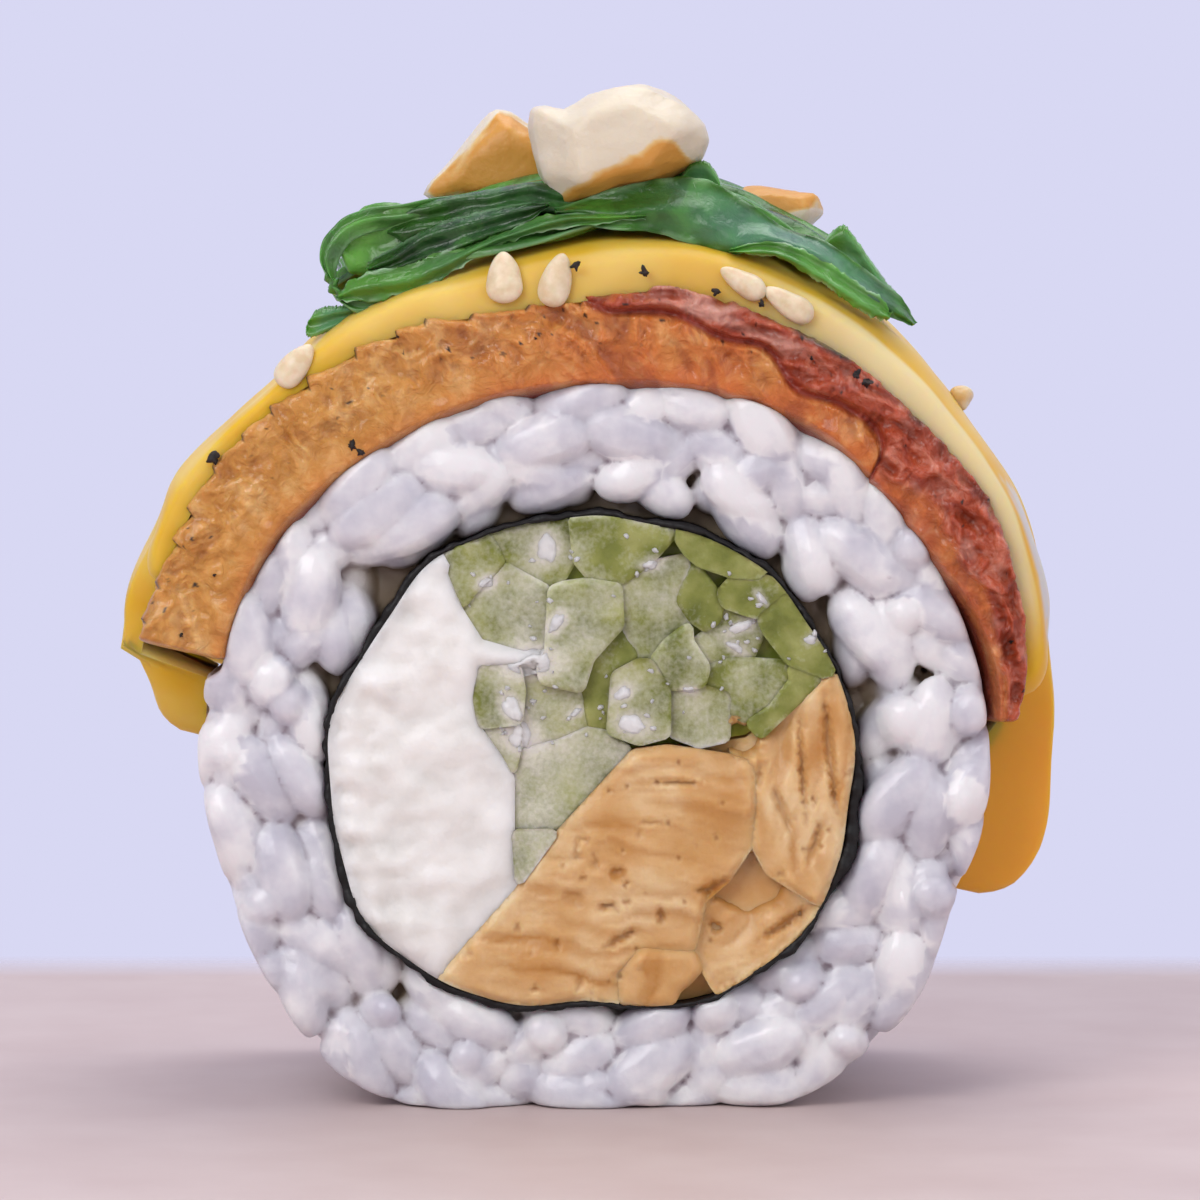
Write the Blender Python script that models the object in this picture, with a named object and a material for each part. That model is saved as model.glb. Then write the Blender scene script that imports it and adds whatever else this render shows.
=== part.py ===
# One upright piece of a filled sushi roll, its cut face towards -Y: a rice ring round a nori
# ring with its fillings, and an eel slab, mango sauce, seaweed salad and nuts on top.
# Sizes are in millimetres and angles in degrees until a mesh is made.
import math
import random

import bmesh
import bpy
from mathutils import Matrix, Vector, geometry, noise

MM = 0.001

# Driving dimensions
ROLL_DEPTH = 28.0          # along Y, from cut face to cut face
RING_X, RING_Z = 0.0, 21.8           # centre of the rice ring and of all that lies over it
FILLING_X, FILLING_Z = -0.2, 21.0    # centre of the nori ring
GAP = 0.32                 # clear space between pieces that touch
RICE_FACES, SAUCE_FACES, SALAD_FACES = 7400, 1550, 1700      # triangles of the fused nodes at most

# Rice
GRAIN_LENGTH = 6.6
GRAIN_WIDTH = 3.5
GRAIN_THICKNESS = 3.1
CORE_INSET = 1.4           # how far the ring core stays under the grains
GRAIN_SIDES = 5
GRAIN_BELLY, GRAIN_SHOULDER = 0.62, 0.84     # where a grain starts to taper, and how wide it still is there
FACE_GRAIN_ROWS = ((-1, ((0.2, 20), (0.52, 22), (0.84, 25))), (1, ((0.27, 17), (0.76, 20))))
SIDE_GRAIN_ROWS, SIDE_GRAINS = 6, 12
BARE_FROM, BARE_SPAN = 173, 186              # part of the outer side that no eel covers
FOOT_FROM, FOOT_TO, FOOT_Z = 244, 296, -0.3  # part of the core that reaches down to the ground
RICE_RADII = [(0, 23.4), (25, 23.0), (50, 22.9), (75, 22.4), (90, 21.7), (115, 21.8), (135, 22.3),
              (155, 22.7), (173, 23.7), (200, 23.5), (217, 24.1), (232, 24.9), (247, 23.9),
              (270, 22.4), (293, 23.9), (308, 24.6), (322, 24.4), (336, 23.3), (350, 23.6)]

# Nori
NORI_THICKNESS = 0.6
NORI_DEPTH = 27.2
LAP_ANGLE, LAP_HALF_WIDTH, LAP_HEIGHT = 346, 13, 0.5
NORI_STEPS = 54
NORI_RADII = [(0, 16.3), (30, 16.1), (60, 15.8), (90, 15.25), (122, 15.9), (150, 15.7), (168, 16.3),
              (200, 16.7), (220, 17.2), (245, 16.2), (270, 15.2), (300, 16.5), (320, 16.85), (345, 16.35)]

# Eel slab: inner and outer faces about the ring's centre, and where its glazed layer starts
EEL_START, EEL_END = 2.5, 168.0
EEL_INNER = [(2, 24.2), (11, 24.5), (20, 24.2), (28, 23.5), (40, 23.2), (55, 23.4), (70, 22.8),
             (88, 22.1), (118, 22.2), (135, 22.7), (147, 23.2), (168, 23.1)]
EEL_OUTER = [(2, 25.0), (8, 26.0), (16, 26.8), (25, 27.4), (32, 27.9), (45, 27.7), (57, 27.9),
             (70, 27.9), (80, 28.1), (92, 27.0), (105, 27.0), (113, 27.7), (128, 28.0), (143, 28.5),
             (155, 28.2), (168, 28.4)]
EEL_CREASE = [(2, 20.0), (43, 22.0), (47, 25.2), (55, 25.4), (61, 24.8), (67, 26.2), (73, 25.9),
              (80, 26.6), (90, 26.6), (95, 29.0), (168, 30.0)]
GLAZE_STEP = 0.7           # how far the glazed layer stands in front of the flesh
FLAKE_PITCH = 3.2
FLAKE_HEIGHT = 0.45
EEL_STEPS = 50
EEL_RIM = 0.35             # how far the rims of its cut faces are rounded back
CRAG_HEIGHT = 0.3

# Mango sauce: outer radius at mid depth, and how far it runs down each side
SAUCE_HALF_DEPTH = 12.9
SAUCE_RADII = [(-22, 26.2), (-14, 27.6), (-4, 27.5), (5, 27.5), (12, 27.8), (18, 28.8), (29, 29.8),
               (37, 30.0), (48, 30.6), (56, 31.0), (75, 30.8), (105, 30.6), (121, 30.5), (131, 29.6),
               (139, 29.7), (148, 30.4), (154, 30.0), (162, 30.2), (168, 29.2), (174, 27.4), (182, 26.4)]

# Each drip: place along Y, half width there, and the angle it reaches
RIGHT_DRIPS = [(-3.0, 4.2, -20.5), (7.5, 3.4, -6.0)]
LEFT_DRIPS = [(-5.4, 4.4, 177.5), (6.0, 3.8, 171.0)]
RIGHT_HEM, LEFT_HEM = 9.0, 157.0
HEM_ROUNDING = 4.5         # angle over which the sauce rounds off at its hem
UNDER_SAUCE = 21.0         # radius that is below the sauce's bed everywhere
SAUCE_STEPS, SAUCE_SLICES = 28, 18
SAUCE_BULGE = 2.6          # exponent of its section: 2 is an ellipse, more is fuller
SAUCE_LIP = 0.12           # share of its thickness that is left at its rims

# Corner points of the cut face, x and z. Neighbouring fillings share them, so their outlines
# meet and can't cross. Corners past the nori are pulled back to its inner wall.
CORNERS = {
    1: (-11.7, 37.1), 2: (-8.7, 32.9), 3: (-9.0, 32.3), 4: (-8.1, 30.2), 5: (-6.9, 28.3),
    6: (-4.4, 27.6), 7: (-3.0, 27.7), 8: (-3.5, 26.7), 9: (-4.6, 26.9), 10: (-7.0, 26.8),
    11: (-7.3, 24.8), 12: (-7.0, 23.1), 13: (-5.8, 21.4), 14: (-5.0, 20.1), 15: (-5.0, 16.9),
    16: (-4.7, 13.5), 17: (-9.3, 8.3), 18: (-12.0, 4.5), 19: (-23.0, 8.0), 20: (-23.0, 34.0),
    21: (-7.2, 31.3), 22: (-5.5, 33.0), 23: (-7.9, 38.4), 24: (-3.7, 32.0), 25: (-2.8, 31.5),
    26: (-2.0, 31.8), 27: (-1.3, 33.1), 28: (-1.8, 38.6), 29: (-0.4, 32.0), 30: (1.5, 31.7),
    31: (3.4, 33.1), 32: (4.6, 34.3), 33: (6.0, 38.3), 34: (5.4, 33.5), 35: (5.6, 32.8),
    36: (4.9, 30.7), 37: (5.7, 29.5), 38: (4.1, 28.3), 39: (3.3, 27.2), 40: (2.5, 27.2),
    41: (1.6, 29.2), 42: (-0.2, 27.2), 43: (-0.8, 25.3), 44: (-3.3, 25.8), 45: (-4.3, 25.4),
    46: (-4.5, 23.4), 47: (-4.6, 21.7), 48: (-2.2, 22.3), 49: (-0.4, 23.1), 50: (0.7, 22.8),
    51: (1.0, 26.4), 52: (4.4, 25.4), 53: (4.4, 22.6), 54: (2.6, 22.1), 55: (6.1, 32.9),
    56: (8.1, 32.2), 57: (9.8, 32.0), 58: (13.8, 36.4), 59: (8.5, 38.5), 60: (7.3, 31.3),
    61: (7.6, 30.4), 62: (7.4, 29.5), 63: (6.6, 28.9), 64: (11.7, 31.4), 65: (9.7, 29.7),
    66: (10.1, 28.8), 67: (9.4, 27.2), 68: (8.0, 27.2), 69: (6.8, 26.8), 70: (5.8, 28.3),
    71: (6.5, 25.6), 72: (8.0, 25.1), 73: (8.0, 22.3), 74: (6.2, 21.9), 75: (11.5, 27.0),
    76: (11.7, 26.0), 77: (10.4, 24.3), 78: (9.0, 23.4), 79: (8.1, 23.9), 80: (13.6, 26.0),
    81: (18.4, 27.8), 82: (16.5, 34.0), 83: (9.9, 22.4), 84: (2.2, 21.7), 85: (-2.2, 16.9),
    86: (4.3, 22.0), 87: (8.2, 21.4), 88: (9.4, 20.9), 89: (9.6, 18.8), 90: (9.4, 16.0),
    91: (8.0, 13.9), 92: (6.6, 12.7), 93: (5.9, 9.6), 94: (2.7, 9.7), 95: (1.2, 8.2),
    96: (1.7, 3.4), 97: (10.3, 14.3), 98: (11.9, 13.3), 99: (14.9, 11.4), 100: (20.0, 9.0),
    101: (16.0, 5.0), 102: (8.4, 4.8), 103: (6.4, 8.5), 104: (5.6, 7.6), 105: (3.9, 6.3),
    106: (2.6, 6.0), 107: (1.5, 6.7),
}
WALK_STEP = 0.25           # how finely an outline is followed to find where it meets the nori
SHORTEST_EDGE = 0.3
CREAM_CHEESE = (20, 1, 2, 3, 4, 5, 6, 7, 8, 9, 10, 11, 12, 13, 14, 15, 16, 17, 18, 19)
CUCUMBER_STICKS = [
    (1, 23, 22, 21, 4, 3, 2),
    (21, 22, 24, 25, 7, 6, 5, 4),
    (23, 28, 27, 26, 25, 24, 22),
    (28, 33, 32, 31, 30, 29, 27),
    (25, 26, 29, 30, 41, 42, 43, 44, 8, 7),
    (30, 31, 34, 35, 36, 37, 38, 39, 40, 41),
    (35, 55, 60, 61, 62, 63, 37, 36),
    (33, 59, 58, 57, 56, 55, 34, 32),
    (56, 57, 64, 65, 61, 60),
    (64, 82, 81, 80, 75, 66, 65),
    (61, 65, 66, 67, 68, 69, 70, 63, 62),
    (38, 37, 70, 69, 71, 52, 39),
    (40, 39, 52, 53, 54, 50, 51),
    (41, 40, 51, 50, 49, 43, 42),
    (52, 71, 72, 73, 74, 53),
    (69, 68, 67, 75, 76, 77, 78, 79, 72, 71),
    (75, 80, 83, 78, 77, 76),
    (10, 9, 45, 46, 12, 11),
    (9, 8, 44, 43, 49, 48, 47, 46, 45),
    (12, 46, 47, 14, 13),
    (47, 48, 49, 50, 84, 85, 15, 14),
    (15, 85, 16),
]
OMELETTE_SLAB = (84, 86, 87, 88, 89, 90, 91, 92, 93, 94, 95, 96, 18, 17, 16, 85)
OMELETTE_EDGE = (83, 80, 81, 100, 99, 98, 97, 90, 89, 88, 87, 73, 79, 78)
OMELETTE_FOLD = (92, 91, 90, 97, 98, 99, 101, 102, 103, 93)
OMELETTE_TIP = (95, 94, 93, 103, 104, 105, 106, 107)

# Torn hollows in the front cut face: x, z, radius and depth
EDGE_TEARS = [(8.9, 22.3, 1.1, 2.6)]
FOLD_TEARS = [(9.3, 14.2, 1.5, 2.4)]
TEAR_RING, TEAR_RING_POINTS = 0.55, 5        # points round a tear's middle, as a share of its radius

# Nut pieces: corners of the silhouette in x and z, place along Y, depth along Y, and seed
NUT_PIECES = [
    ([(-4.0, 59.1), (-3.8, 60.2), (-2.9, 60.9), (0.4, 61.2), (2.8, 61.7), (4.4, 61.1), (5.5, 60.4),
      (6.8, 59.2), (7.1, 58.4), (6.4, 57.3), (3.7, 55.7), (-1.0, 54.4), (-2.2, 54.2), (-3.5, 56.3)],
     -8.2, 6.8, 3),
    ([(-11.2, 54.8), (-6.3, 60.3), (-5.3, 60.1), (-2.8, 58.4), (-2.4, 55.6), (-6.0, 54.4)], 0.6, 4.6, 8),
    ([(7.8, 55.2), (9.6, 55.4), (13.8, 55.0), (14.1, 53.9), (12.8, 52.7), (8.6, 53.0)], 3.2, 5.2, 5),
    ([(-3.0, 57.4), (0.4, 59.0), (4.2, 58.3), (5.0, 56.4), (1.6, 54.6), (-2.4, 55.0)], 7.4, 5.0, 11),
]
# Slices of a nut piece along Y: place as a share of its depth, and size as a share of its silhouette
NUT_SLICES = ((-0.5, 0.62), (-0.26, 0.95), (0.1, 1.0), (0.38, 0.88), (0.5, 0.6))

# Seaweed salad: how high it rises over the sauce by angle, and the ribbons that lie in front:
# points along each, width, and turn about its length
SALAD_FROM, SALAD_TO, SALAD_STEPS = 54.0, 119.0, 16
SALAD_TOP = [(50, 0.4), (56, 1.2), (64, 2.6), (78, 3.2), (90, 3.4), (102, 3.2), (112, 3.2), (119, 2.6),
             (123, 1.2)]
CORE_SECTION = ((-9.0, 0.25), (-6.0, 0.6), (0.0, 0.75), (6.0, 0.6), (9.0, 0.25))    # y, share of that height
RIBBON_COUNT, RIBBON_KNOTS, RIBBON_LIFT = 9, 9, 0.4
FRONT_RIBBONS = [
    ([(-2.5, -9.4, 55.0), (-7.0, -9.7, 54.7), (-11.8, -10.0, 54.1), (-15.2, -10.1, 53.4),
      (-16.6, -10.2, 51.6), (-16.3, -10.4, 49.8), (-14.6, -10.7, 49.3), (-11.6, -11.0, 50.1),
      (-8.2, -11.0, 51.4), (-4.6, -10.8, 52.8), (-1.0, -10.4, 53.6)], 2.4, 50),
    ([(-14.2, -9.2, 51.8), (-10.2, -9.4, 53.0), (-6.0, -9.4, 54.2), (-1.0, -9.4, 54.8),
      (3.8, -9.4, 54.7), (7.8, -9.4, 54.1), (11.7, -9.2, 52.6), (15.2, -8.8, 50.4),
      (17.6, -8.2, 48.8), (19.4, -7.6, 47.8)], 3.4, 35),
]
RIBBON_THICKNESS = 0.7

# Sesame seeds: angle and radius about the ring's centre, side of the roll, tilt from upright
SEED_LENGTH, SEED_WIDTH, SEED_THICKNESS = 3.1, 1.9, 1.2
SEEDS = [(101, 29.0, -1, 4), (94.5, 28.9, -1, -16), (71, 29.4, -1, 58), (64, 29.2, -1, 62),
         (128, 29.3, -1, -20), (60, 29.2, 1, 40), (112, 29.0, 1, 10), (84, 29.2, 1, -50)]


def knot_value(knots, place, period=None):
    """Smooth curve through knots of place and value, closed on itself if it has a period."""
    if period:
        first = knots[0][0]
        place = first + (place - first) % period
        knots = [(p - period, v) for p, v in knots[-2:]] + knots + [(p + period, v) for p, v in knots[:2]]
    place = min(max(place, knots[0][0]), knots[-1][0])
    right = 1
    while right < len(knots) - 1 and knots[right][0] < place:
        right += 1
    p1, v1 = knots[right - 1]
    p2, v2 = knots[right]
    p0, v0 = knots[max(right - 2, 0)]
    p3, v3 = knots[min(right + 1, len(knots) - 1)]
    slope_1 = (v2 - v0) / (p2 - p0)
    slope_2 = (v3 - v1) / (p3 - p1)
    span = p2 - p1
    t = (place - p1) / span
    start = (2 * t ** 3 - 3 * t ** 2 + 1) * v1 + (t ** 3 - 2 * t ** 2 + t) * span * slope_1
    end = (3 * t ** 2 - 2 * t ** 3) * v2 + (t ** 3 - t ** 2) * span * slope_2
    return start + end


def ring_point(radius, angle, y):
    """Point at a radius and angle about the rice ring's centre."""
    turn = math.radians(angle)
    return Vector((RING_X + radius * math.cos(turn), y, RING_Z + radius * math.sin(turn)))


def filling_point(radius, angle, y):
    """Point at a radius and angle about the nori ring's centre."""
    turn = math.radians(angle)
    return Vector((FILLING_X + radius * math.cos(turn), y, FILLING_Z + radius * math.sin(turn)))


def ring_polar(point):
    return math.hypot(point.x - RING_X, point.z - RING_Z), math.degrees(
        math.atan2(point.z - RING_Z, point.x - RING_X)) % 360


def filling_polar(point):
    return math.hypot(point.x - FILLING_X, point.z - FILLING_Z), math.degrees(
        math.atan2(point.z - FILLING_Z, point.x - FILLING_X)) % 360


def rice_radius(angle):
    return knot_value(RICE_RADII, angle, 360)


def nori_inner(angle):
    """Inner face of the nori, with a slight ripple."""
    ripple = 0.12 * math.sin(math.radians(angle * 9)) + 0.05 * math.sin(math.radians(angle * 17 + 40))
    return knot_value(NORI_RADII, angle, 360) + ripple - NORI_THICKNESS


def nori_radius(angle):
    """Outer face of the nori, thicker at the lap where the sheet's two ends overlap."""
    from_lap = abs((angle % 360) - LAP_ANGLE)
    lap = min(max(1 - from_lap / LAP_HALF_WIDTH, 0.0) * 3, 1.0)
    return nori_inner(angle) + NORI_THICKNESS + LAP_HEIGHT * lap


def eel_outer(angle, y=0.0):
    """Outer face of the eel, stepped where its flakes overlap."""
    along = math.radians(angle) * 28 + 0.25 * y
    flake = (along / FLAKE_PITCH) % 1.0
    return knot_value(EEL_OUTER, angle) + FLAKE_HEIGHT * (flake - 0.5)


def drip_reach(y, hem, drips):
    """Angle that the sauce's hem reaches at a depth: the hem, or a drip that hangs below it."""
    reach = hem + 2.5 * math.sin(y * 0.9 + hem)
    for centre, half_width, tip in drips:
        closeness = math.exp(-((y - centre) / half_width) ** 4)
        reach += (tip - hem) * closeness
    return reach


def sauce_bed(angle):
    """What the sauce lies on: the eel, or past the eel's ends the rice."""
    angle = (angle + 90) % 360 - 90
    rice = rice_radius(angle) + 0.9
    if EEL_START - 1.2 < angle < EEL_END + 1.2:
        place = min(max(angle, EEL_START), EEL_END)
        return max(rice, knot_value(EEL_OUTER, place) + FLAKE_HEIGHT / 2 + GAP)
    return rice


def sauce_surface(angle, y):
    """Outer radius of the sauce, thick in the middle of the depth and rounded off at its rims."""
    across = min(abs(y) / SAUCE_HALF_DEPTH, 1.0)
    fullness = max(1 - across ** SAUCE_BULGE, 0.0) ** (1 / SAUCE_BULGE)
    bed = sauce_bed(angle)
    full = knot_value(SAUCE_RADII, (angle + 90) % 360 - 90)
    wave = 0.25 * noise.noise(Vector((angle * 0.11, y * 0.25, 3.0)))
    return bed + max(full - bed, 0.6) * (SAUCE_LIP + (1 - SAUCE_LIP) * fullness) + wave


def make_material(name, colour, roughness):
    material = bpy.data.materials.new(name)
    material.use_nodes = True
    surface = material.node_tree.nodes["Principled BSDF"]
    surface.inputs["Base Color"].default_value = (*colour, 1.0)
    surface.inputs["Roughness"].default_value = roughness
    surface.inputs["Metallic"].default_value = 0.0
    material.diffuse_color = (*colour, 1.0)
    return material


def add_object(name, bm, material):
    """Turn a mesh in millimetres into an object in metres, faces out, with its material."""
    bmesh.ops.scale(bm, vec=(MM, MM, MM), verts=bm.verts)
    bmesh.ops.recalc_face_normals(bm, faces=bm.faces)
    mesh = bpy.data.meshes.new(name)
    bm.to_mesh(mesh)
    bm.free()
    mesh.shade_smooth()
    mesh.set_sharp_from_angle(angle=math.radians(50))
    item = bpy.data.objects.new(name, mesh)
    item.data.materials.append(material)
    bpy.context.scene.collection.objects.link(item)
    return item


def loft(loops, closed=False):
    """Skin a row of loops of equal length; an open row gets flat ends."""
    bm = bmesh.new()
    rows = [[bm.verts.new(point) for point in loop] for loop in loops]
    count = len(rows[0])
    pairs = list(zip(rows, rows[1:]))
    if closed:
        pairs.append((rows[-1], rows[0]))
    for row_a, row_b in pairs:
        for i in range(count):
            j = (i + 1) % count
            bm.faces.new((row_a[i], row_a[j], row_b[j], row_b[i]))
    if not closed:
        bm.faces.new(list(reversed(rows[0])))
        bm.faces.new(rows[-1])
    return bm


def inset_outline(points, distance):
    """Move each edge of a closed outline inwards by a distance; the outline runs clockwise."""
    moved = []
    count = len(points)
    for i in range(count):
        before, here, after = points[i - 1], points[i], points[(i + 1) % count]
        into = (here - before).normalized()
        out = (after - here).normalized()
        normal_in = Vector((into.y, -into.x))
        normal_out = Vector((out.y, -out.x))
        middle = (normal_in + normal_out).normalized()
        stretch = min(1 / max(middle.dot(normal_in), 0.2), 2.2)
        moved.append(here + middle * distance * stretch)
    return moved


def filling_outline(corner_numbers, arc_step=1.8):
    """Outline of a filling from its corners: inset by half a gap and held inside the nori."""
    corners = [Vector(CORNERS[number]) for number in corner_numbers]
    area = sum(a.x * b.y - b.x * a.y for a, b in zip(corners, corners[1:] + corners[:1]))
    if area > 0:
        corners.reverse()
    corners = inset_outline(corners, GAP / 2)
    outline = []
    was_beyond = hold_inside(corners[0])[1]
    for start, end in zip(corners, corners[1:] + corners[:1]):
        pieces = math.ceil((end - start).length / WALK_STEP)
        for i in range(pieces):
            place, beyond = hold_inside(start.lerp(end, i / pieces))
            apart = (place - outline[-1]).length if outline else arc_step
            wanted = beyond != was_beyond or (i == 0 and not beyond) or (beyond and apart >= arc_step)
            if wanted and apart > SHORTEST_EDGE:
                outline.append(place)
            was_beyond = beyond
    if (outline[0] - outline[-1]).length < SHORTEST_EDGE:
        outline.pop()
    return outline


def hold_inside(place):
    """Pull a point of the cut face back to the nori's inner wall, and say whether it was past it."""
    radius, angle = filling_polar(Vector((place.x, 0, place.y)))
    limit = nori_inner(angle) - GAP - 0.06
    if radius <= limit:
        return place, False
    held = filling_point(limit, angle, 0)
    return Vector((held.x, held.z)), True


def run_through(name, outline, front, back, spacing, material, tears=()):
    """Solid with one outline all the way through and a relief, by depth, on each cut face.
    Spacing is that of the points inside the outline, and each tear gets some of its own."""
    low = Vector((min(p.x for p in outline), min(p.y for p in outline)))
    high = Vector((max(p.x for p in outline), max(p.y for p in outline)))
    inner = []
    rows = int((high.y - low.y) / spacing) + 1 if spacing else 0
    columns = int((high.x - low.x) / spacing) + 1 if spacing else 0
    for row in range(rows):
        for column in range(columns):
            spot = low + Vector((column + 0.25 + 0.5 * (row % 2), row + 0.5)) * spacing
            near = min(distance_to_edge(spot, a, b) for a, b in zip(outline, outline[1:] + outline[:1]))
            if near > spacing * 0.45 and inside(spot, outline):
                inner.append(spot)
    for x, z, radius, _ in tears:
        middle = Vector((x, z))
        inner = [spot for spot in inner if (spot - middle).length > radius]
        ring = [middle + Vector((math.cos(turn), math.sin(turn))) * radius * TEAR_RING
                for turn in range(TEAR_RING_POINTS)]
        inner += [spot for spot in [middle] + ring if inside(spot, outline)]
    count = len(outline)
    edges = [(i, (i + 1) % count) for i in range(count)]
    flat = geometry.delaunay_2d_cdt(outline + inner, edges, [], 1, 1e-6)
    points, faces = flat[0], flat[2]
    source = {used[0]: place for place, used in enumerate(flat[3]) if used}
    bm = bmesh.new()
    fronts = [bm.verts.new((p.x, front(p.x, p.y), p.y)) for p in points]
    backs = [bm.verts.new((p.x, back(p.x, p.y), p.y)) for p in points]
    for face in faces:
        bm.faces.new([fronts[i] for i in face])
        bm.faces.new([backs[i] for i in reversed(face)])
    for a, b in edges:
        a, b = source[a], source[b]
        bm.faces.new((fronts[a], fronts[b], backs[b], backs[a]))
    return add_object(name, bm, material)


def distance_to_edge(spot, a, b):
    """Distance of a point from an edge, or from the edge's first corner if it lies past its ends."""
    foot, share = geometry.intersect_point_line(spot, a, b)
    return (spot - foot.to_2d()).length if 0 < share < 1 else (spot - a).length


def inside(spot, outline):
    """Whether a point is inside a closed outline."""
    crossings = 0
    for a, b in zip(outline, outline[1:] + outline[:1]):
        if (a.y > spot.y) != (b.y > spot.y):
            if spot.x < a.x + (spot.y - a.y) / (b.y - a.y) * (b.x - a.x):
                crossings += 1
    return crossings % 2 == 1


def join_pieces(core, extras, solver="EXACT"):
    """Fuse small pieces to a core with one Boolean union and drop the pieces."""
    group = bpy.data.collections.new(core.name + "_extras")
    bpy.context.scene.collection.children.link(group)
    for extra in extras:
        bpy.context.scene.collection.objects.unlink(extra)
        group.objects.link(extra)
    fuse = core.modifiers.new("fuse", "BOOLEAN")
    fuse.operation = "UNION"
    fuse.operand_type = "COLLECTION"
    fuse.collection = group
    fuse.solver = solver
    apply_modifiers(core)
    for extra in extras:
        bpy.data.objects.remove(extra)
    bpy.data.collections.remove(group)


def cut_away(item, cutter, solver="EXACT"):
    """Take a cutter's shape out of an object and drop the cutter."""
    cut = item.modifiers.new("cut", "BOOLEAN")
    cut.operation = "DIFFERENCE"
    cut.object = cutter
    cut.solver = solver
    apply_modifiers(item)
    bpy.data.objects.remove(cutter)


def apply_modifiers(item):
    bpy.context.view_layer.update()
    seen = item.evaluated_get(bpy.context.evaluated_depsgraph_get())
    mesh = bpy.data.meshes.new_from_object(seen)
    item.modifiers.clear()
    item.data = mesh


def tidy_skin(item, most_faces):
    """Keep only the outer skin, with sealed hollows filled and scraps dropped, and few triangles."""
    bm = bmesh.new()
    bm.from_mesh(item.data)
    unseen = set(bm.faces)
    groups = []
    while unseen:
        group = set()
        front = [unseen.pop()]
        while front:
            face = front.pop()
            group.add(face)
            for edge in face.edges:
                for other in edge.link_faces:
                    if other in unseen:
                        unseen.remove(other)
                        front.append(other)
        groups.append(group)
    groups.sort(key=len)
    for group in groups[:-1]:
        bmesh.ops.delete(bm, geom=list(group), context="FACES")
    bmesh.ops.triangulate(bm, faces=bm.faces)
    count = len(bm.faces)
    bm.to_mesh(item.data)
    bm.free()
    thin = item.modifiers.new("thin_out", "DECIMATE")
    thin.ratio = min(1.0, most_faces / count)
    apply_modifiers(item)
    item.data.shade_smooth()
    item.data.set_sharp_from_angle(angle=math.radians(50))


def grain_mesh(centre, along, normal, length, width, thickness, bend=0.25):
    """Plump grain of 30 triangles, a little bent, its long axis along a direction."""
    along = along.normalized()
    side = along.cross(normal).normalized()
    up = side.cross(along).normalized()
    bm = bmesh.new()
    sides = GRAIN_SIDES
    rings = []
    for t, swell in ((-GRAIN_BELLY, GRAIN_SHOULDER), (0.0, 1.0), (GRAIN_BELLY, GRAIN_SHOULDER)):
        middle = centre + along * (t * length / 2) - up * (bend * t * t)
        ring = []
        for i in range(sides):
            turn = 2 * math.pi * i / sides
            ring.append(bm.verts.new(middle + side * (math.cos(turn) * swell * width / 2)
                                     + up * (math.sin(turn) * swell * thickness / 2)))
        rings.append(ring)
    tips = [bm.verts.new(centre + along * (t * length / 2) - up * bend) for t in (-1, 1)]
    for low, high in zip(rings, rings[1:]):
        for i in range(sides):
            j = (i + 1) % sides
            bm.faces.new((low[i], low[j], high[j], high[i]))
    for i in range(sides):
        j = (i + 1) % sides
        bm.faces.new((rings[0][j], rings[0][i], tips[0]))
        bm.faces.new((rings[-1][i], rings[-1][j], tips[1]))
    bmesh.ops.triangulate(bm, faces=bm.faces)
    return bm


def fit_grain(bm):
    """Press a grain back from the nori, the eel, the sauce and the cut faces."""
    half = ROLL_DEPTH / 2
    for vert in bm.verts:
        radius, angle = filling_polar(vert.co)
        wall = nori_radius(angle) + GAP + 0.1
        if radius < wall:
            vert.co = filling_point(wall, angle, vert.co.y)
        radius, angle = ring_polar(vert.co)
        limit = rice_radius(angle) + 0.35
        if EEL_START - 1.5 < angle < EEL_END + 1.5:
            limit = min(limit, knot_value(EEL_INNER, angle) - GAP - 0.05)
        if radius > limit:
            vert.co = ring_point(limit, angle, vert.co.y)
        vert.co.y = min(max(vert.co.y, -half - 0.2), half + 0.2)


def rice_grain_places():
    """Places and directions of the grains that show: both cut faces and the bare outer side."""
    draw = random.Random(31)
    half = ROLL_DEPTH / 2
    places = []
    for side, rows in FACE_GRAIN_ROWS:
        for share, count in rows:
            for i in range(count):
                angle = (i + draw.uniform(-0.22, 0.22)) * 360 / count + share * 40
                inner = nori_radius(angle) + GAP
                radius = inner + share * (rice_radius(angle) - inner)
                centre = ring_point(radius, angle, side * (half - draw.uniform(0.95, 1.5)))
                turn = math.radians(angle + 90 + draw.uniform(-38, 38))
                along = Vector((math.cos(turn), side * draw.uniform(-0.25, 0.25), math.sin(turn)))
                if draw.random() < 0.2:
                    along = Vector((draw.uniform(-0.3, 0.3), 1, draw.uniform(-0.3, 0.3)))
                    centre.y = side * (half - GRAIN_LENGTH / 2 + 0.2)
                places.append((centre, along, Vector((0, side, 0)), draw.uniform(0.88, 1.08)))
    for row in range(SIDE_GRAIN_ROWS):
        y = (row + 0.5) / SIDE_GRAIN_ROWS * (ROLL_DEPTH - 5) - half + 2.5
        for i in range(SIDE_GRAINS):
            share = (i + 0.5 * (row % 2) + draw.uniform(-0.2, 0.2)) / SIDE_GRAINS
            angle = BARE_FROM + BARE_SPAN * share
            radius = rice_radius(angle) - draw.uniform(0.9, 1.4)
            centre = ring_point(radius, angle, y + draw.uniform(-0.6, 0.6))
            turn = draw.uniform(-1.2, 1.2)
            outward = ring_point(1, angle, 0) - ring_point(0, angle, 0)
            tangent = Vector((-outward.z, 0, outward.x))
            along = tangent * math.cos(turn) + Vector((0, math.sin(turn), 0))
            places.append((centre, along, outward, draw.uniform(0.9, 1.08)))
    return places


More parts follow.
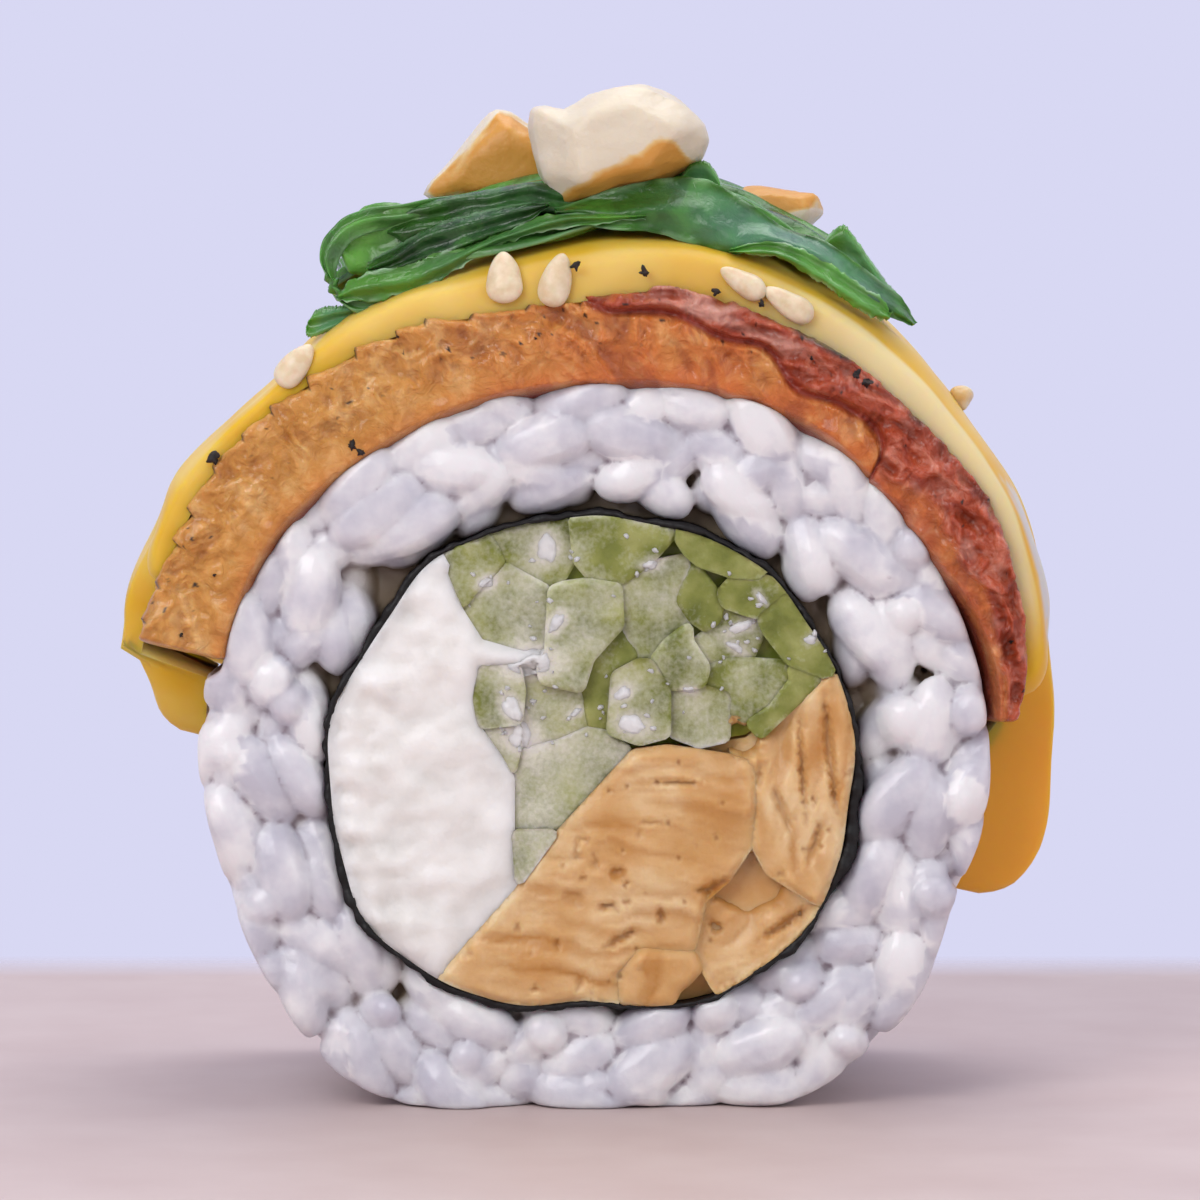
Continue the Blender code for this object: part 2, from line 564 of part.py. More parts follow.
def make_rice():
    """Rice ring: a plain ring core with grains fused to it, flat where it stands."""
    half = ROLL_DEPTH / 2 - CORE_INSET
    loops = []
    steps = 60
    for i in range(steps):
        angle = 360 * i / steps
        wall = nori_radius(angle) + GAP
        rim = rice_radius(angle) - CORE_INSET
        if EEL_START < angle < EEL_END:
            rim = min(rim, knot_value(EEL_INNER, angle) - CORE_INSET)
        inner = filling_point(wall, angle, 0)
        outer = ring_point(rim, angle, 0)
        if FOOT_FROM < angle < FOOT_TO:
            outer.z = FOOT_Z
        loops.append([Vector((inner.x, -half, inner.z)), Vector((outer.x, -half, outer.z)),
                      Vector((outer.x, half, outer.z)), Vector((inner.x, half, inner.z))])
    rice = add_object("rice", loft(loops, closed=True), RICE)
    grains = []
    for centre, along, normal, scale in rice_grain_places():
        bm = grain_mesh(centre, along, normal, GRAIN_LENGTH * scale, GRAIN_WIDTH * scale,
                        GRAIN_THICKNESS * scale)
        fit_grain(bm)
        grains.append(add_object("grain", bm, RICE))
    join_pieces(rice, grains)
    ground = bmesh.new()
    bmesh.ops.create_cube(ground, size=1.0, matrix=Matrix.LocRotScale(
        Vector((0, 0, -5)), None, Vector((80, 60, 10))))
    cut_away(rice, add_object("ground_cut", ground, RICE))
    tidy_skin(rice, RICE_FACES)
    return rice


def make_nori():
    """Nori: one thin ring, a little wavy along both cut edges."""
    loops = []
    for i in range(NORI_STEPS):
        angle = 360 * i / NORI_STEPS
        outer = nori_radius(angle)
        inner = nori_inner(angle)
        waves = 0.25 * math.sin(math.radians(angle * 7)) + 0.15 * math.sin(math.radians(angle * 13))
        reach = NORI_DEPTH / 2 + waves
        loops.append([filling_point(inner, angle, -reach), filling_point(outer, angle, -reach),
                      filling_point(outer, angle, reach), filling_point(inner, angle, reach)])
    return add_object("nori", loft(loops, closed=True), NORI)


def soft_relief(depth, ripple, scale, seed, tears=()):
    """Depth of a cut face with soft ridges, and hollows where it is torn."""
    side = math.copysign(1, depth)

    def relief(x, z):
        lump = noise.noise(Vector((x * scale, seed, z * scale)))
        sunk = 0.0
        for tear_x, tear_z, radius, tear_depth in tears:
            share = max(1 - math.hypot(x - tear_x, z - tear_z) / radius, 0.0)
            sunk = max(sunk, tear_depth * min(share * 2, 1.0))
        return depth + side * (ripple * lump - sunk)
    return relief


def make_fillings():
    half = ROLL_DEPTH / 2
    cheese = filling_outline(CREAM_CHEESE, 2.2)
    run_through("cream_cheese", cheese, soft_relief(-half - 0.25, 0.5, 0.28, 1.0),
                soft_relief(half + 0.25, 0.5, 0.28, 2.0), 3.4, CREAM)
    draw = random.Random(5)
    for number, corners in enumerate(CUCUMBER_STICKS, 1):
        name = f"cucumber_stick_{number:02d}"
        front = -half + draw.uniform(-0.3, 0.7)
        back = half - draw.uniform(-0.3, 0.7)
        slope_x, slope_z = draw.uniform(-0.06, 0.06), draw.uniform(-0.06, 0.06)
        middle = sum((Vector(CORNERS[c]) for c in corners), Vector((0, 0))) / len(corners)

        def cut_end(depth):
            return lambda x, z: depth + slope_x * (x - middle.x) + slope_z * (z - middle.y)
        run_through(name, filling_outline(corners), cut_end(front), cut_end(back), None, CUCUMBER)
    for name, corners, depth, seed, tears in (
            ("omelette_slab", OMELETTE_SLAB, half + 0.2, 3.0, ()),
            ("omelette_edge", OMELETTE_EDGE, half + 0.3, 4.0, EDGE_TEARS),
            ("omelette_fold", OMELETTE_FOLD, half - 0.4, 5.0, FOLD_TEARS),
            ("omelette_tip", OMELETTE_TIP, half + 0.2, 6.0, ())):
        run_through(name, filling_outline(corners), soft_relief(-depth, 0.6, 0.45, seed, tears),
                    soft_relief(depth, 0.6, 0.45, seed + 7), 2.6, OMELETTE, tears)


def make_eel():
    """Eel slab: an arch over the rice, flaked outside, with the glazed layer in front."""
    half = ROLL_DEPTH / 2
    loops = []
    for i in range(EEL_STEPS + 1):
        angle = EEL_START + (EEL_END - EEL_START) * i / EEL_STEPS
        inner = knot_value(EEL_INNER, angle)
        crease = knot_value(EEL_CREASE, angle)
        loop = []
        for share in (0.0, 0.3, 0.65, 1.0):
            radius = inner + share * (eel_outer(angle, -half) - inner)
            glazed = min(max((radius - crease) / 0.5, 0.0), 1.0)
            crag = CRAG_HEIGHT * noise.noise(Vector((angle * 0.3, share * 3, 9.0)))
            rounding = EEL_RIM if share in (0.0, 1.0) else 0.0
            loop.append(ring_point(radius, angle, -half - GLAZE_STEP * glazed + crag + rounding))
        for y in (-half * 0.6, 0.0, half * 0.6):
            loop.append(ring_point(eel_outer(angle, y), angle, y))
        for share in (1.0, 0.5, 0.0):
            radius = inner + share * (eel_outer(angle, half) - inner)
            crag = CRAG_HEIGHT * noise.noise(Vector((angle * 0.3, share * 3, 19.0)))
            loop.append(ring_point(radius, angle, half + crag - (EEL_RIM if share != 0.5 else 0.0)))
        loop.append(ring_point(inner, angle, 0.0))
        loops.append(loop)
    return add_object("eel", loft(loops), EEL)


def sauce_slice(y, grow):
    """Closed loop of the sauce at one depth: its outer face one way, then back deep below it."""
    right = drip_reach(y, RIGHT_HEM, RIGHT_DRIPS)
    left = drip_reach(y, LEFT_HEM, LEFT_DRIPS)
    loop = []
    for i in range(SAUCE_STEPS + 1):
        share = i / SAUCE_STEPS
        share = share + 0.03 * math.sin(2 * math.pi * share)
        angle = right + (left - right) * share
        edge = max(min(angle - right, left - angle) / HEM_ROUNDING, 0.0)
        rounding = (1 - (1 - min(edge, 1.0)) ** 2) ** 0.5
        bed = sauce_bed(angle)
        thickness = (sauce_surface(angle, y) - bed + 0.4) * rounding
        loop.append(ring_point(bed - 0.4 + thickness + grow, angle, y))
    for share in (0.02, 0.25, 0.5, 0.75, 0.98):
        loop.append(ring_point(UNDER_SAUCE, left + (right - left) * share, y))
    return loop


def sauce_body(name, grow):
    """The sauce down to below its bed, at its own size or grown to seat what lies on it."""
    reach = SAUCE_HALF_DEPTH + grow
    evenly = [2 * i / SAUCE_SLICES - 1 for i in range(SAUCE_SLICES + 1)]
    depths = [reach * (0.6 * t + 0.4 * math.sin(math.pi * t / 2)) for t in evenly]
    return add_object(name, loft([sauce_slice(y, grow) for y in depths]), SAUCE)


def sauce_bed_guide():
    """Ring that fills all the space below the sauce: the eel, the rice and a gap round them."""
    angles = [i * 5 for i in range(-10, 46)]
    angles += [EEL_START - 1.3, EEL_START - 1.1, EEL_END + 1.1, EEL_END + 1.3]
    loops = []
    for angle in sorted(angles) + [250, 280]:
        bed = sauce_bed(angle)
        loops.append([ring_point(12, angle, -20), ring_point(bed, angle, -20),
                      ring_point(bed, angle, 20), ring_point(12, angle, 20)])
    return add_object("sauce_bed", loft(loops, closed=True), SAUCE)


def make_sauce():
    """Mango sauce: a thick shell over the eel with drips down both sides and seeds on it."""
    sauce = sauce_body("mango_sauce", 0.0)
    cut_away(sauce, sauce_bed_guide())
    seeds = []
    for angle, radius, side, tilt in SEEDS:
        bed = sauce_bed(angle)
        share = (radius - bed) / (knot_value(SAUCE_RADII, angle) - bed)
        share = min(max((share - SAUCE_LIP) / (1 - SAUCE_LIP), 0.05), 0.95)
        y = side * SAUCE_HALF_DEPTH * (1 - share ** SAUCE_BULGE) ** (1 / SAUCE_BULGE)
        here = ring_point(sauce_surface(angle, y), angle, y)
        outward = ring_point(1, angle, 0) - ring_point(0, angle, 0)
        normal = (outward * share + Vector((0, side, 0)) * (1 - share * 0.6)).normalized()
        turn = math.radians(90 + tilt)
        along = Vector((math.cos(turn), 0, math.sin(turn)))
        along = along - normal * along.dot(normal)
        bm = grain_mesh(here + normal * 0.25, along, normal, SEED_LENGTH, SEED_WIDTH, SEED_THICKNESS, 0.0)
        seeds.append(add_object("seed", bm, SAUCE))
    join_pieces(sauce, seeds, "MANIFOLD")      # EXACT leaves the fused seeds open
    tidy_skin(sauce, SAUCE_FACES)
    return sauce


def ribbon(path, width, thickness, twist, seed):
    """Seaweed ribbon along a path of points and outward directions."""
    loops = []
    count = len(path)
    for i, (here, outward) in enumerate(path):
        before = path[max(i - 1, 0)][0]
        after = path[min(i + 1, count - 1)][0]
        along = (after - before).normalized()
        side = along.cross(outward).normalized()
        roll = math.radians(twist + 16 * math.sin(i * 0.8 + seed))
        flat = side * math.cos(roll) + outward * math.sin(roll)
        thin = flat.cross(along).normalized()
        taper = 0.35 + 0.65 * math.sin(math.pi * (i + 0.5) / count) ** 0.5
        half_wide, half_thin = width * taper / 2, thickness / 2
        loops.append([here + flat * half_wide - thin * half_thin, here + flat * half_wide + thin * half_thin,
                      here - flat * half_wide + thin * half_thin, here - flat * half_wide - thin * half_thin])
    return loft(loops)


def make_salad():
    """Seaweed salad: a low core on the sauce with ribbons laid across it."""
    loops = []
    for i in range(SALAD_STEPS + 1):
        angle = SALAD_FROM + (SALAD_TO - SALAD_FROM) * i / SALAD_STEPS
        rise = knot_value(SALAD_TOP, angle)
        loop = []
        for y, height in CORE_SECTION:
            loop.append(ring_point(sauce_surface(angle, y) + GAP + max(height * rise, 0.5), angle, y))
        for y in (9.0, 0.0, -9.0):
            loop.append(ring_point(sauce_surface(angle, y) - 1.2, angle, y))
        loops.append(loop)
    salad = add_object("seaweed_salad", loft(loops), SEAWEED)
    ribbons = []
    draw = random.Random(22)
    for number in range(RIBBON_COUNT):
        y = -9.6 + 19.2 * number / (RIBBON_COUNT - 1)
        first = 52 + draw.uniform(0, 14)
        last = 122 - draw.uniform(0, 16)
        path = []
        for i in range(RIBBON_KNOTS):
            angle = first + (last - first) * i / (RIBBON_KNOTS - 1)
            sway = 1.6 * math.sin(i * 0.9 + number * 1.9)
            level = 0.55 + 0.35 * math.sin(i * 1.1 + number * 2.3)
            depth = y + sway
            across = max(1 - (depth / 13) ** 2, 0.1) ** 0.5
            height = knot_value(SALAD_TOP, angle) * level * across
            radius = sauce_surface(angle, depth) + GAP + RIBBON_LIFT + height
            outward = ring_point(1, angle, 0) - ring_point(0, angle, 0)
            path.append((ring_point(radius, angle, depth), outward))
        bm = ribbon(path, draw.uniform(3.0, 5.0), RIBBON_THICKNESS, draw.uniform(-30, 30), number)
        ribbons.append(add_object("ribbon", bm, SEAWEED))
    for number, (points, width, turn) in enumerate(FRONT_RIBBONS):
        path = []
        for point in points:
            outward = Vector(point) - ring_point(0, 0, point[1])
            path.append((Vector(point), outward.normalized()))
        bm = ribbon(path, width, RIBBON_THICKNESS, turn, number)
        ribbons.append(add_object("ribbon", bm, SEAWEED))
    join_pieces(salad, ribbons, "MANIFOLD")    # EXACT loses the salad in the cuts that follow
    cut_away(salad, sauce_body("salad_seat", GAP + 0.1), "MANIFOLD")
    return salad


def nut_mesh(corners, middle_y, depth, seed, grow=0.0):
    """Broken nut piece: the hull of its silhouette, smaller towards its front and its back."""
    draw = random.Random(seed)
    middle = sum((Vector(corner) for corner in corners), Vector((0, 0))) / len(corners)
    bm = bmesh.new()
    for share, size in NUT_SLICES:
        for corner in corners:
            place = middle + (Vector(corner) - middle) * (size * draw.uniform(0.94, 1.0))
            bm.verts.new((place.x, middle_y + depth * (share + draw.uniform(-0.06, 0.06)), place.y))
    hull = bmesh.ops.convex_hull(bm, input=bm.verts)
    unused = hull["geom_interior"] + hull["geom_unused"]
    loose = {item for item in unused if isinstance(item, bmesh.types.BMVert)}
    bmesh.ops.delete(bm, geom=list(loose), context="VERTS")
    bmesh.ops.recalc_face_normals(bm, faces=bm.faces)
    bm.normal_update()
    for vert in bm.verts:
        vert.co += vert.normal * grow
    return bm


def make_nuts(salad):
    """Nut pieces on top, each seated in a hollow of the salad."""
    for number, (corners, middle_y, depth, seed) in enumerate(NUT_PIECES, 1):
        seat = add_object("nut_seat", nut_mesh(corners, middle_y, depth, seed, grow=GAP + 0.1), NUT)
        cut_away(salad, seat, "MANIFOLD")
        add_object(f"nut_piece_{number}", nut_mesh(corners, middle_y, depth, seed), NUT)


for existing in list(bpy.data.objects):
    bpy.data.objects.remove(existing)

RICE = make_material("rice", (0.62, 0.58, 0.64), 0.35)
NORI = make_material("nori", (0.012, 0.011, 0.012), 0.45)
CREAM = make_material("cream_cheese", (0.85, 0.80, 0.76), 0.4)
CUCUMBER = make_material("cucumber", (0.42, 0.48, 0.25), 0.3)
OMELETTE = make_material("omelette", (0.66, 0.40, 0.16), 0.5)
EEL = make_material("eel", (0.58, 0.20, 0.06), 0.4)
SAUCE = make_material("mango_sauce", (0.72, 0.50, 0.08), 0.2)
SEAWEED = make_material("seaweed", (0.03, 0.16, 0.04), 0.25)
NUT = make_material("nut", (0.68, 0.42, 0.18), 0.5)

make_rice()
make_nori()
make_fillings()
make_eel()
make_sauce()
seaweed_salad = make_salad()
make_nuts(seaweed_salad)
tidy_skin(seaweed_salad, SALAD_FACES)
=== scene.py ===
import math
import random

import bmesh
import bpy
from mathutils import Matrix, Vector, bvhtree, geometry, kdtree, noise


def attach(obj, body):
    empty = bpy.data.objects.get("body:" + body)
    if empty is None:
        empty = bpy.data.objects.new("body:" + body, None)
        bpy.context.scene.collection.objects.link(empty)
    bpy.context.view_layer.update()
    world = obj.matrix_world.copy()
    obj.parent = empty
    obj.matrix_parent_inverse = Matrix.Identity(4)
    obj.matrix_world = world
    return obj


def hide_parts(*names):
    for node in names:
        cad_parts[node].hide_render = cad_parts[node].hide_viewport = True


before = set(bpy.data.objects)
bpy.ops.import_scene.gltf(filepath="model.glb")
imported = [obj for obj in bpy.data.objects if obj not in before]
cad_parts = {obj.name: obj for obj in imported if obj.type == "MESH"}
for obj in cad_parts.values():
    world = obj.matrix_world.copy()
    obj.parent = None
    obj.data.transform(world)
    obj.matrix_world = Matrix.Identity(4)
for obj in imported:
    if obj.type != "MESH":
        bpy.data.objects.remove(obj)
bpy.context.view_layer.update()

# Eel mango sushi roll. All sizes are in millimetres and angles in degrees until a mesh is made.
mm = 0.001

roll = {
    "depth": 28.0,
    "ringX": 0.0, "ringZ": 21.8,            # centre of the rice ring
    "fillingX": -0.2, "fillingZ": 21.0,     # centre of the nori ring
    "gap": 0.32,
}
half = roll["depth"] / 2


def knotValue(knots, place, period=None):
    # smooth curve through knots of place and value
    if period:
        first = knots[0][0]
        place = first + (place - first) % period
        knots = [(p - period, v) for p, v in knots[-2:]] + knots + [(p + period, v) for p, v in knots[:2]]
    place = min(max(place, knots[0][0]), knots[-1][0])
    right = 1
    while right < len(knots) - 1 and knots[right][0] < place:
        right += 1
    p1, v1 = knots[right - 1]
    p2, v2 = knots[right]
    p0, v0 = knots[max(right - 2, 0)]
    p3, v3 = knots[min(right + 1, len(knots) - 1)]
    slopeStart = (v2 - v0) / (p2 - p0)
    slopeEnd = (v3 - v1) / (p3 - p1)
    span = p2 - p1
    t = (place - p1) / span
    start = (2 * t ** 3 - 3 * t ** 2 + 1) * v1 + (t ** 3 - 2 * t ** 2 + t) * span * slopeStart
    end = (3 * t ** 2 - 2 * t ** 3) * v2 + (t ** 3 - t ** 2) * span * slopeEnd
    return start + end


def ringPoint(radius, angle, y):
    turn = math.radians(angle)
    return Vector((roll["ringX"] + radius * math.cos(turn), y, roll["ringZ"] + radius * math.sin(turn)))


def fillingPoint(radius, angle, y):
    turn = math.radians(angle)
    return Vector((roll["fillingX"] + radius * math.cos(turn), y,
                   roll["fillingZ"] + radius * math.sin(turn)))


def outwardAt(angle):
    return ringPoint(1, angle, 0) - ringPoint(0, angle, 0)


def underEel(angle, beyond=0.0):
    return eel["start"] - beyond < angle < eel["end"] + beyond


def polarAbout(point, centreX, centreZ):
    across, up = point.x - centreX, point.z - centreZ
    return math.hypot(across, up), math.degrees(math.atan2(up, across)) % 360


def heldBelow(value, limit, soft):
    # the value, bent smoothly so that it never passes the limit
    over = (value - limit) / soft + 1
    return value if over <= 0 else limit - soft * math.exp(-over)


def heldAbove(value, limit, soft):
    return -heldBelow(-value, -limit, soft)


def smooth(low, high, value):
    t = min(max((value - low) / (high - low), 0.0), 1.0)
    return t * t * (3 - 2 * t)


def lumps(point, size, seed=0.0):
    # noise from -1 to 1 whose lumps are about this size
    x, y, z = (number / size for number in point)
    return noise.noise(Vector((x + seed * 7.3, y - seed * 3.1, z + seed)))


def addObject(name, data):
    item = bpy.data.objects.new(name, data)
    bpy.context.scene.collection.objects.link(item)
    return item


def byLabel(labels, marks):
    # one list of numbers for each label, from one tuple of them for each point
    return {label: [mark[k] for mark in marks] for k, label in enumerate(labels)}


def weldedNode(node):
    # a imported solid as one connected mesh
    bm = bmesh.new()
    bm.from_mesh(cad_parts[node].data)
    bmesh.ops.remove_doubles(bm, verts=bm.verts, dist=0.005 * mm)
    return bm


def addPiece(name, points, faces, material, nodes=(), values=None):
    # mesh in millimetres to a piece that rides on the root, with values for its material per point
    mesh = bpy.data.meshes.new(name)
    mesh.from_pydata([Vector(p) * mm for p in points], [], faces)
    for label, numbers in (values or {}).items():
        layer = mesh.attributes.new(label, "FLOAT", "POINT")
        layer.data.foreach_set("value", numbers)
    mesh.materials.append(material)
    mesh.shade_smooth()
    piece = addObject(name, mesh)
    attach(piece, "root")
    if nodes:
        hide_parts(*nodes)
    return piece


def skinLoops(loops, points, faces, closed=False):
    # skin a row of loops of equal length; an open row gets flat ends
    first = len(points)
    count = len(loops[0])
    for loop in loops:
        points.extend(loop)
    rows = len(loops)
    for row in range(rows if closed else rows - 1):
        a = first + row * count
        b = first + (row + 1) % rows * count
        for i in range(count):
            j = (i + 1) % count
            faces.append((a + i, a + j, b + j, b + i))
    if not closed:
        faces.append([first + i for i in reversed(range(count))])
        faces.append([first + (rows - 1) * count + i for i in range(count)])


def meltTogether(points, faces, voxel, passes, mostFaces):
    # one soft skin round overlapping shapes, its creases eased, thinned to a number of triangles
    mesh = bpy.data.meshes.new("melting")
    mesh.from_pydata(points, [], faces)
    item = addObject("melting", mesh)
    skin = item.modifiers.new("skin", "REMESH")
    skin.mode = "VOXEL"
    skin.voxel_size = voxel
    ease = item.modifiers.new("ease", "SMOOTH")
    ease.factor = 0.5
    ease.iterations = passes
    for step in ("skin", "thin"):
        if step == "thin":
            thin = item.modifiers.new("thin", "DECIMATE")
            thin.ratio = min(1.0, mostFaces / (2 * len(item.data.polygons)))
        seen = item.evaluated_get(bpy.context.evaluated_depsgraph_get())
        item.data = bpy.data.meshes.new_from_object(seen)
        item.modifiers.clear()
    melted = [v.co.copy() for v in item.data.vertices]
    skinFaces = [list(face.vertices) for face in item.data.polygons]
    bpy.data.objects.remove(item)
    return melted, skinFaces


# Materials

def hexToLinear(text):
    parts = [int(text[i:i + 2], 16) / 255 for i in (1, 3, 5)]
    linear = [p / 12.92 if p <= 0.04045 else ((p + 0.055) / 1.055) ** 2.4 for p in parts]
    return (*linear, 1.0)


def perMm(size):
    # noise scale whose pattern repeats about every so many millimetres
    return 1 / (size * mm)


def addNode(tree, kind, inputs=None, stops=None, **settings):
    # one node with its settings; an input that is a socket gets linked, a hex text is a colour
    node = tree.nodes.new(kind)
    for label, value in settings.items():
        setattr(node, label, value)
    for label, value in (inputs or {}).items():
        if isinstance(value, bpy.types.NodeSocket):
            tree.links.new(value, node.inputs[label])
        else:
            node.inputs[label].default_value = hexToLinear(value) if isinstance(value, str) else value
    if stops:
        ramp = node.color_ramp
        while len(ramp.elements) < len(stops):
            ramp.elements.new(0.5)
        for element, (place, colour) in zip(ramp.elements, stops):
            element.position = place
            element.color = hexToLinear(colour)
    return node


# A finish has the values of its surface, how light goes into it (weight, depth in mm, reach of red, green
# and blue), a noise pattern (size in mm, detail, other inputs) and its colours, the colours mixed in by
# the shares that a mesh carries, and the finer pattern of its bump with its height in mm.
finishes = {
    # cooked short grain rice: a clear, moist skin over a milky inside, some grains whiter than others,
    # with painted mauve shade in the creases where grains meet and painted olive shade where a gap goes deep
    "cookedRice": {
        "surface": {"Roughness": 0.3, "IOR": 1.4, "Coat Weight": 0.25, "Coat Roughness": 0.15},
        "inside": (0.8, 1.4, (1.0, 0.85, 0.9)),
        "pattern": (2.6, 3.0, {}), "steered": ("tone", 0.35, 1.0, 0.0),
        "colours": [(0.45, "#C5C4CE"), (0.65, "#D7D6DC"), (0.85, "#EAE9EA")],
        "shares": [("crease", "#A1949F"), ("gap", "#857562")],
        "fine": (0.7, 5.0, {}), "bump": 0.05},
    # toasted laver sheet gone damp: near black with a dull sheen and small pimples
    "dampNori": {
        "surface": {"Roughness": 0.5, "IOR": 1.4},
        "pattern": (0.6, 6.0, {}), "bump": 0.12,
        "colours": [(0.35, "#070607"), (0.6, "#110F10"), (0.8, "#262322")]},
    # soft cheese pressed flat by the knife: matt white with faint smears
    "creamCheese": {
        "surface": {"Roughness": 0.42, "IOR": 1.42},
        "inside": (0.8, 1.6, (1.0, 0.94, 0.86)),
        "pattern": (3.5, 4.0, {}), "colours": [(0.3, "#DFDDD8"), (0.6, "#F1EFEB")],
        "fine": (0.9, 6.0, {}), "bump": 0.1},
    # raw cucumber sticks: wet clear flesh, pale where the cells are open and where cheese is smeared on,
    # the smear broken up by the cells
    "cucumberFlesh": {
        "surface": {"Roughness": 0.26, "IOR": 1.36},
        "inside": (0.6, 1.2, (0.8, 1.0, 0.45)),
        "pattern": (2.8, 4.0, {}), "colours": [(0.34, "#687030"), (0.5, "#868C46"), (0.66, "#A4A666")],
        "shares": [("smear", "#D8D6C6", 0.9, 0.3, 1.35)],
        "fine": (0.3, 5.0, {}), "bump": 0.08},
    # the same flesh where it lies in shade between the sticks: clean, wet and greener
    "deepCucumber": {
        "surface": {"Roughness": 0.25, "IOR": 1.36},
        "inside": (0.5, 1.5, (0.8, 1.0, 0.4)),
        "pattern": (1.4, 4.0, {}), "colours": [(0.35, "#73802E"), (0.65, "#98A048")], "bump": 0.2},
    # layered omelette: set egg, browner along its folds, with painted shade in its pores, round its torn
    # hollows and on ends that lie sunk
    "layeredOmelette": {
        "surface": {"Roughness": 0.38, "IOR": 1.42},
        "inside": (0.5, 1.2, (1.0, 0.6, 0.25)),
        "pattern": (4.0, 5.0, {}), "colours": [(0.34, "#CF9F63"), (0.5, "#D9B07A"), (0.66, "#E8CC9E")],
        "shares": [("groove", "#B87A30")],
        "fine": (0.8, 6.0, {}), "bump": 0.12},
    # grilled eel: tan to orange flesh, red brown glaze that chars along its edge; the flesh's valleys, the
    # glaze's folds and its crease are painted darker, partly glaze gathered there and partly painted shade
    "grilledEel": {
        "surface": {"Roughness": 0.36, "IOR": 1.45, "Coat Weight": 0.4, "Coat Roughness": 0.14},
        "inside": (0.35, 0.8, (1.0, 0.45, 0.2)),
        "pattern": (1.8, 8.0, {"Roughness": 0.6, "Distortion": 0.8}),
        "colours": [(0.3, "#C4822E"), (0.5, "#DB9C4A"), (0.7, "#ECBC76")],
        "shares": [("red", [(0.3, "#BA5A20"), (0.5, "#D67630"), (0.7, "#E69C58")]),
                   ("glaze", [(0.32, "#92301A"), (0.5, "#BC522F"), (0.7, "#E2947A")]),
                   # the membrane share is a pale pink membrane on the glaze, partly a painted highlight near
                   # the top
                   ("membrane", "#D69A88"), ("groove", "#8A3214"), ("crease", "#9E3A26"),
                   ("char", "#150E0B")],
        "gloss": ("glaze", 0.4, 0.18),
        "fine": (1.0, 8.0, {"Roughness": 0.62, "Distortion": 1.2}), "bump": 0.45},
    # flakes burnt to char: dull black with a brown cast
    "burntFlakes": {
        "surface": {"Roughness": 0.6, "IOR": 1.5},
        "pattern": (0.3, 4.0, {}), "colours": [(0.4, "#0B0707"), (0.7, "#2C1C17")], "bump": 0.1},
    # mango sauce: thick and smooth, light goes deep into it, paler where it is thin, amber in a drip, with a
    # painted blue-white reflection of the backdrop on its right flank
    "mangoSauce": {
        "surface": {"Roughness": 0.34, "IOR": 1.38, "Specular IOR Level": 0.14},
        "inside": (0.8, 1.6, (1.0, 0.65, 0.12)),
        "pattern": (5.0, 2.0, {}), "colours": [(0.35, "#DDB034"), (0.65, "#E4C05A")],
        "shares": [("amber", "#ECAE46"), ("pale", "#E4D4A6"), ("milk", "#C9D2DA")]},
    # wakame: wet, half see-through ribbons, dark where they lie double, lighter green where painted light
    # falls on some sheets, a painted teal sheen on others, and paler at their frayed thin edges
    "wakameRibbon": {
        "surface": {"Roughness": 0.2, "IOR": 1.38, "Coat Weight": 0.15, "Coat Roughness": 0.1},
        "inside": (0.35, 0.7, (0.3, 1.0, 0.4)),
        "pattern": (2.4, 6.0, {"Distortion": 0.6}),
        "colours": [(0.34, "#16320C"), (0.5, "#265018"), (0.68, "#3F7426")],
        # the light share paints lighter green where light falls on a sheet, the teal share a painted sheen,
        # and the fray share the paler torn edge
        "shares": [("light", "#6AA844"), ("teal", "#6CA088"), ("fray", "#A4CAA2")],
        "fine": (0.8, 6.0, {"Distortion": 0.5}), "bump": 0.16},
    # toasted cashew: golden on its roasted side, cream where it broke
    "toastedNut": {
        "surface": {"Roughness": 0.45, "IOR": 1.47},
        "inside": (0.4, 1.2, (1.0, 0.7, 0.4)),
        "pattern": (1.8, 5.0, {}), "steered": ("toast", 1.0, 0.9, -0.45),
        "colours": [(0.2, "#DCD0BA"), (0.5, "#DDBB7C"), (0.9, "#D39845")],
        "fine": (0.8, 6.0, {}), "bump": 0.1},
    # hulled white sesame: matt cream, a little mottled
    "sesameSeed": {
        "surface": {"Roughness": 0.4, "IOR": 1.47},
        "inside": (0.4, 0.6, (1.0, 0.2, 0.1)),
        "pattern": (0.8, 4.0, {}), "colours": [(0.35, "#DBC5A0"), (0.65, "#EADCC0")], "bump": 0.04},
    # painted board under the piece: even and matt, warm beige
    "tableTop": {
        "surface": {"Roughness": 0.5, "IOR": 1.45},
        "pattern": (9.0, 5.0, {}), "colours": [(0.3, "#C6B2AE"), (0.7, "#CDBBB7")]},
}


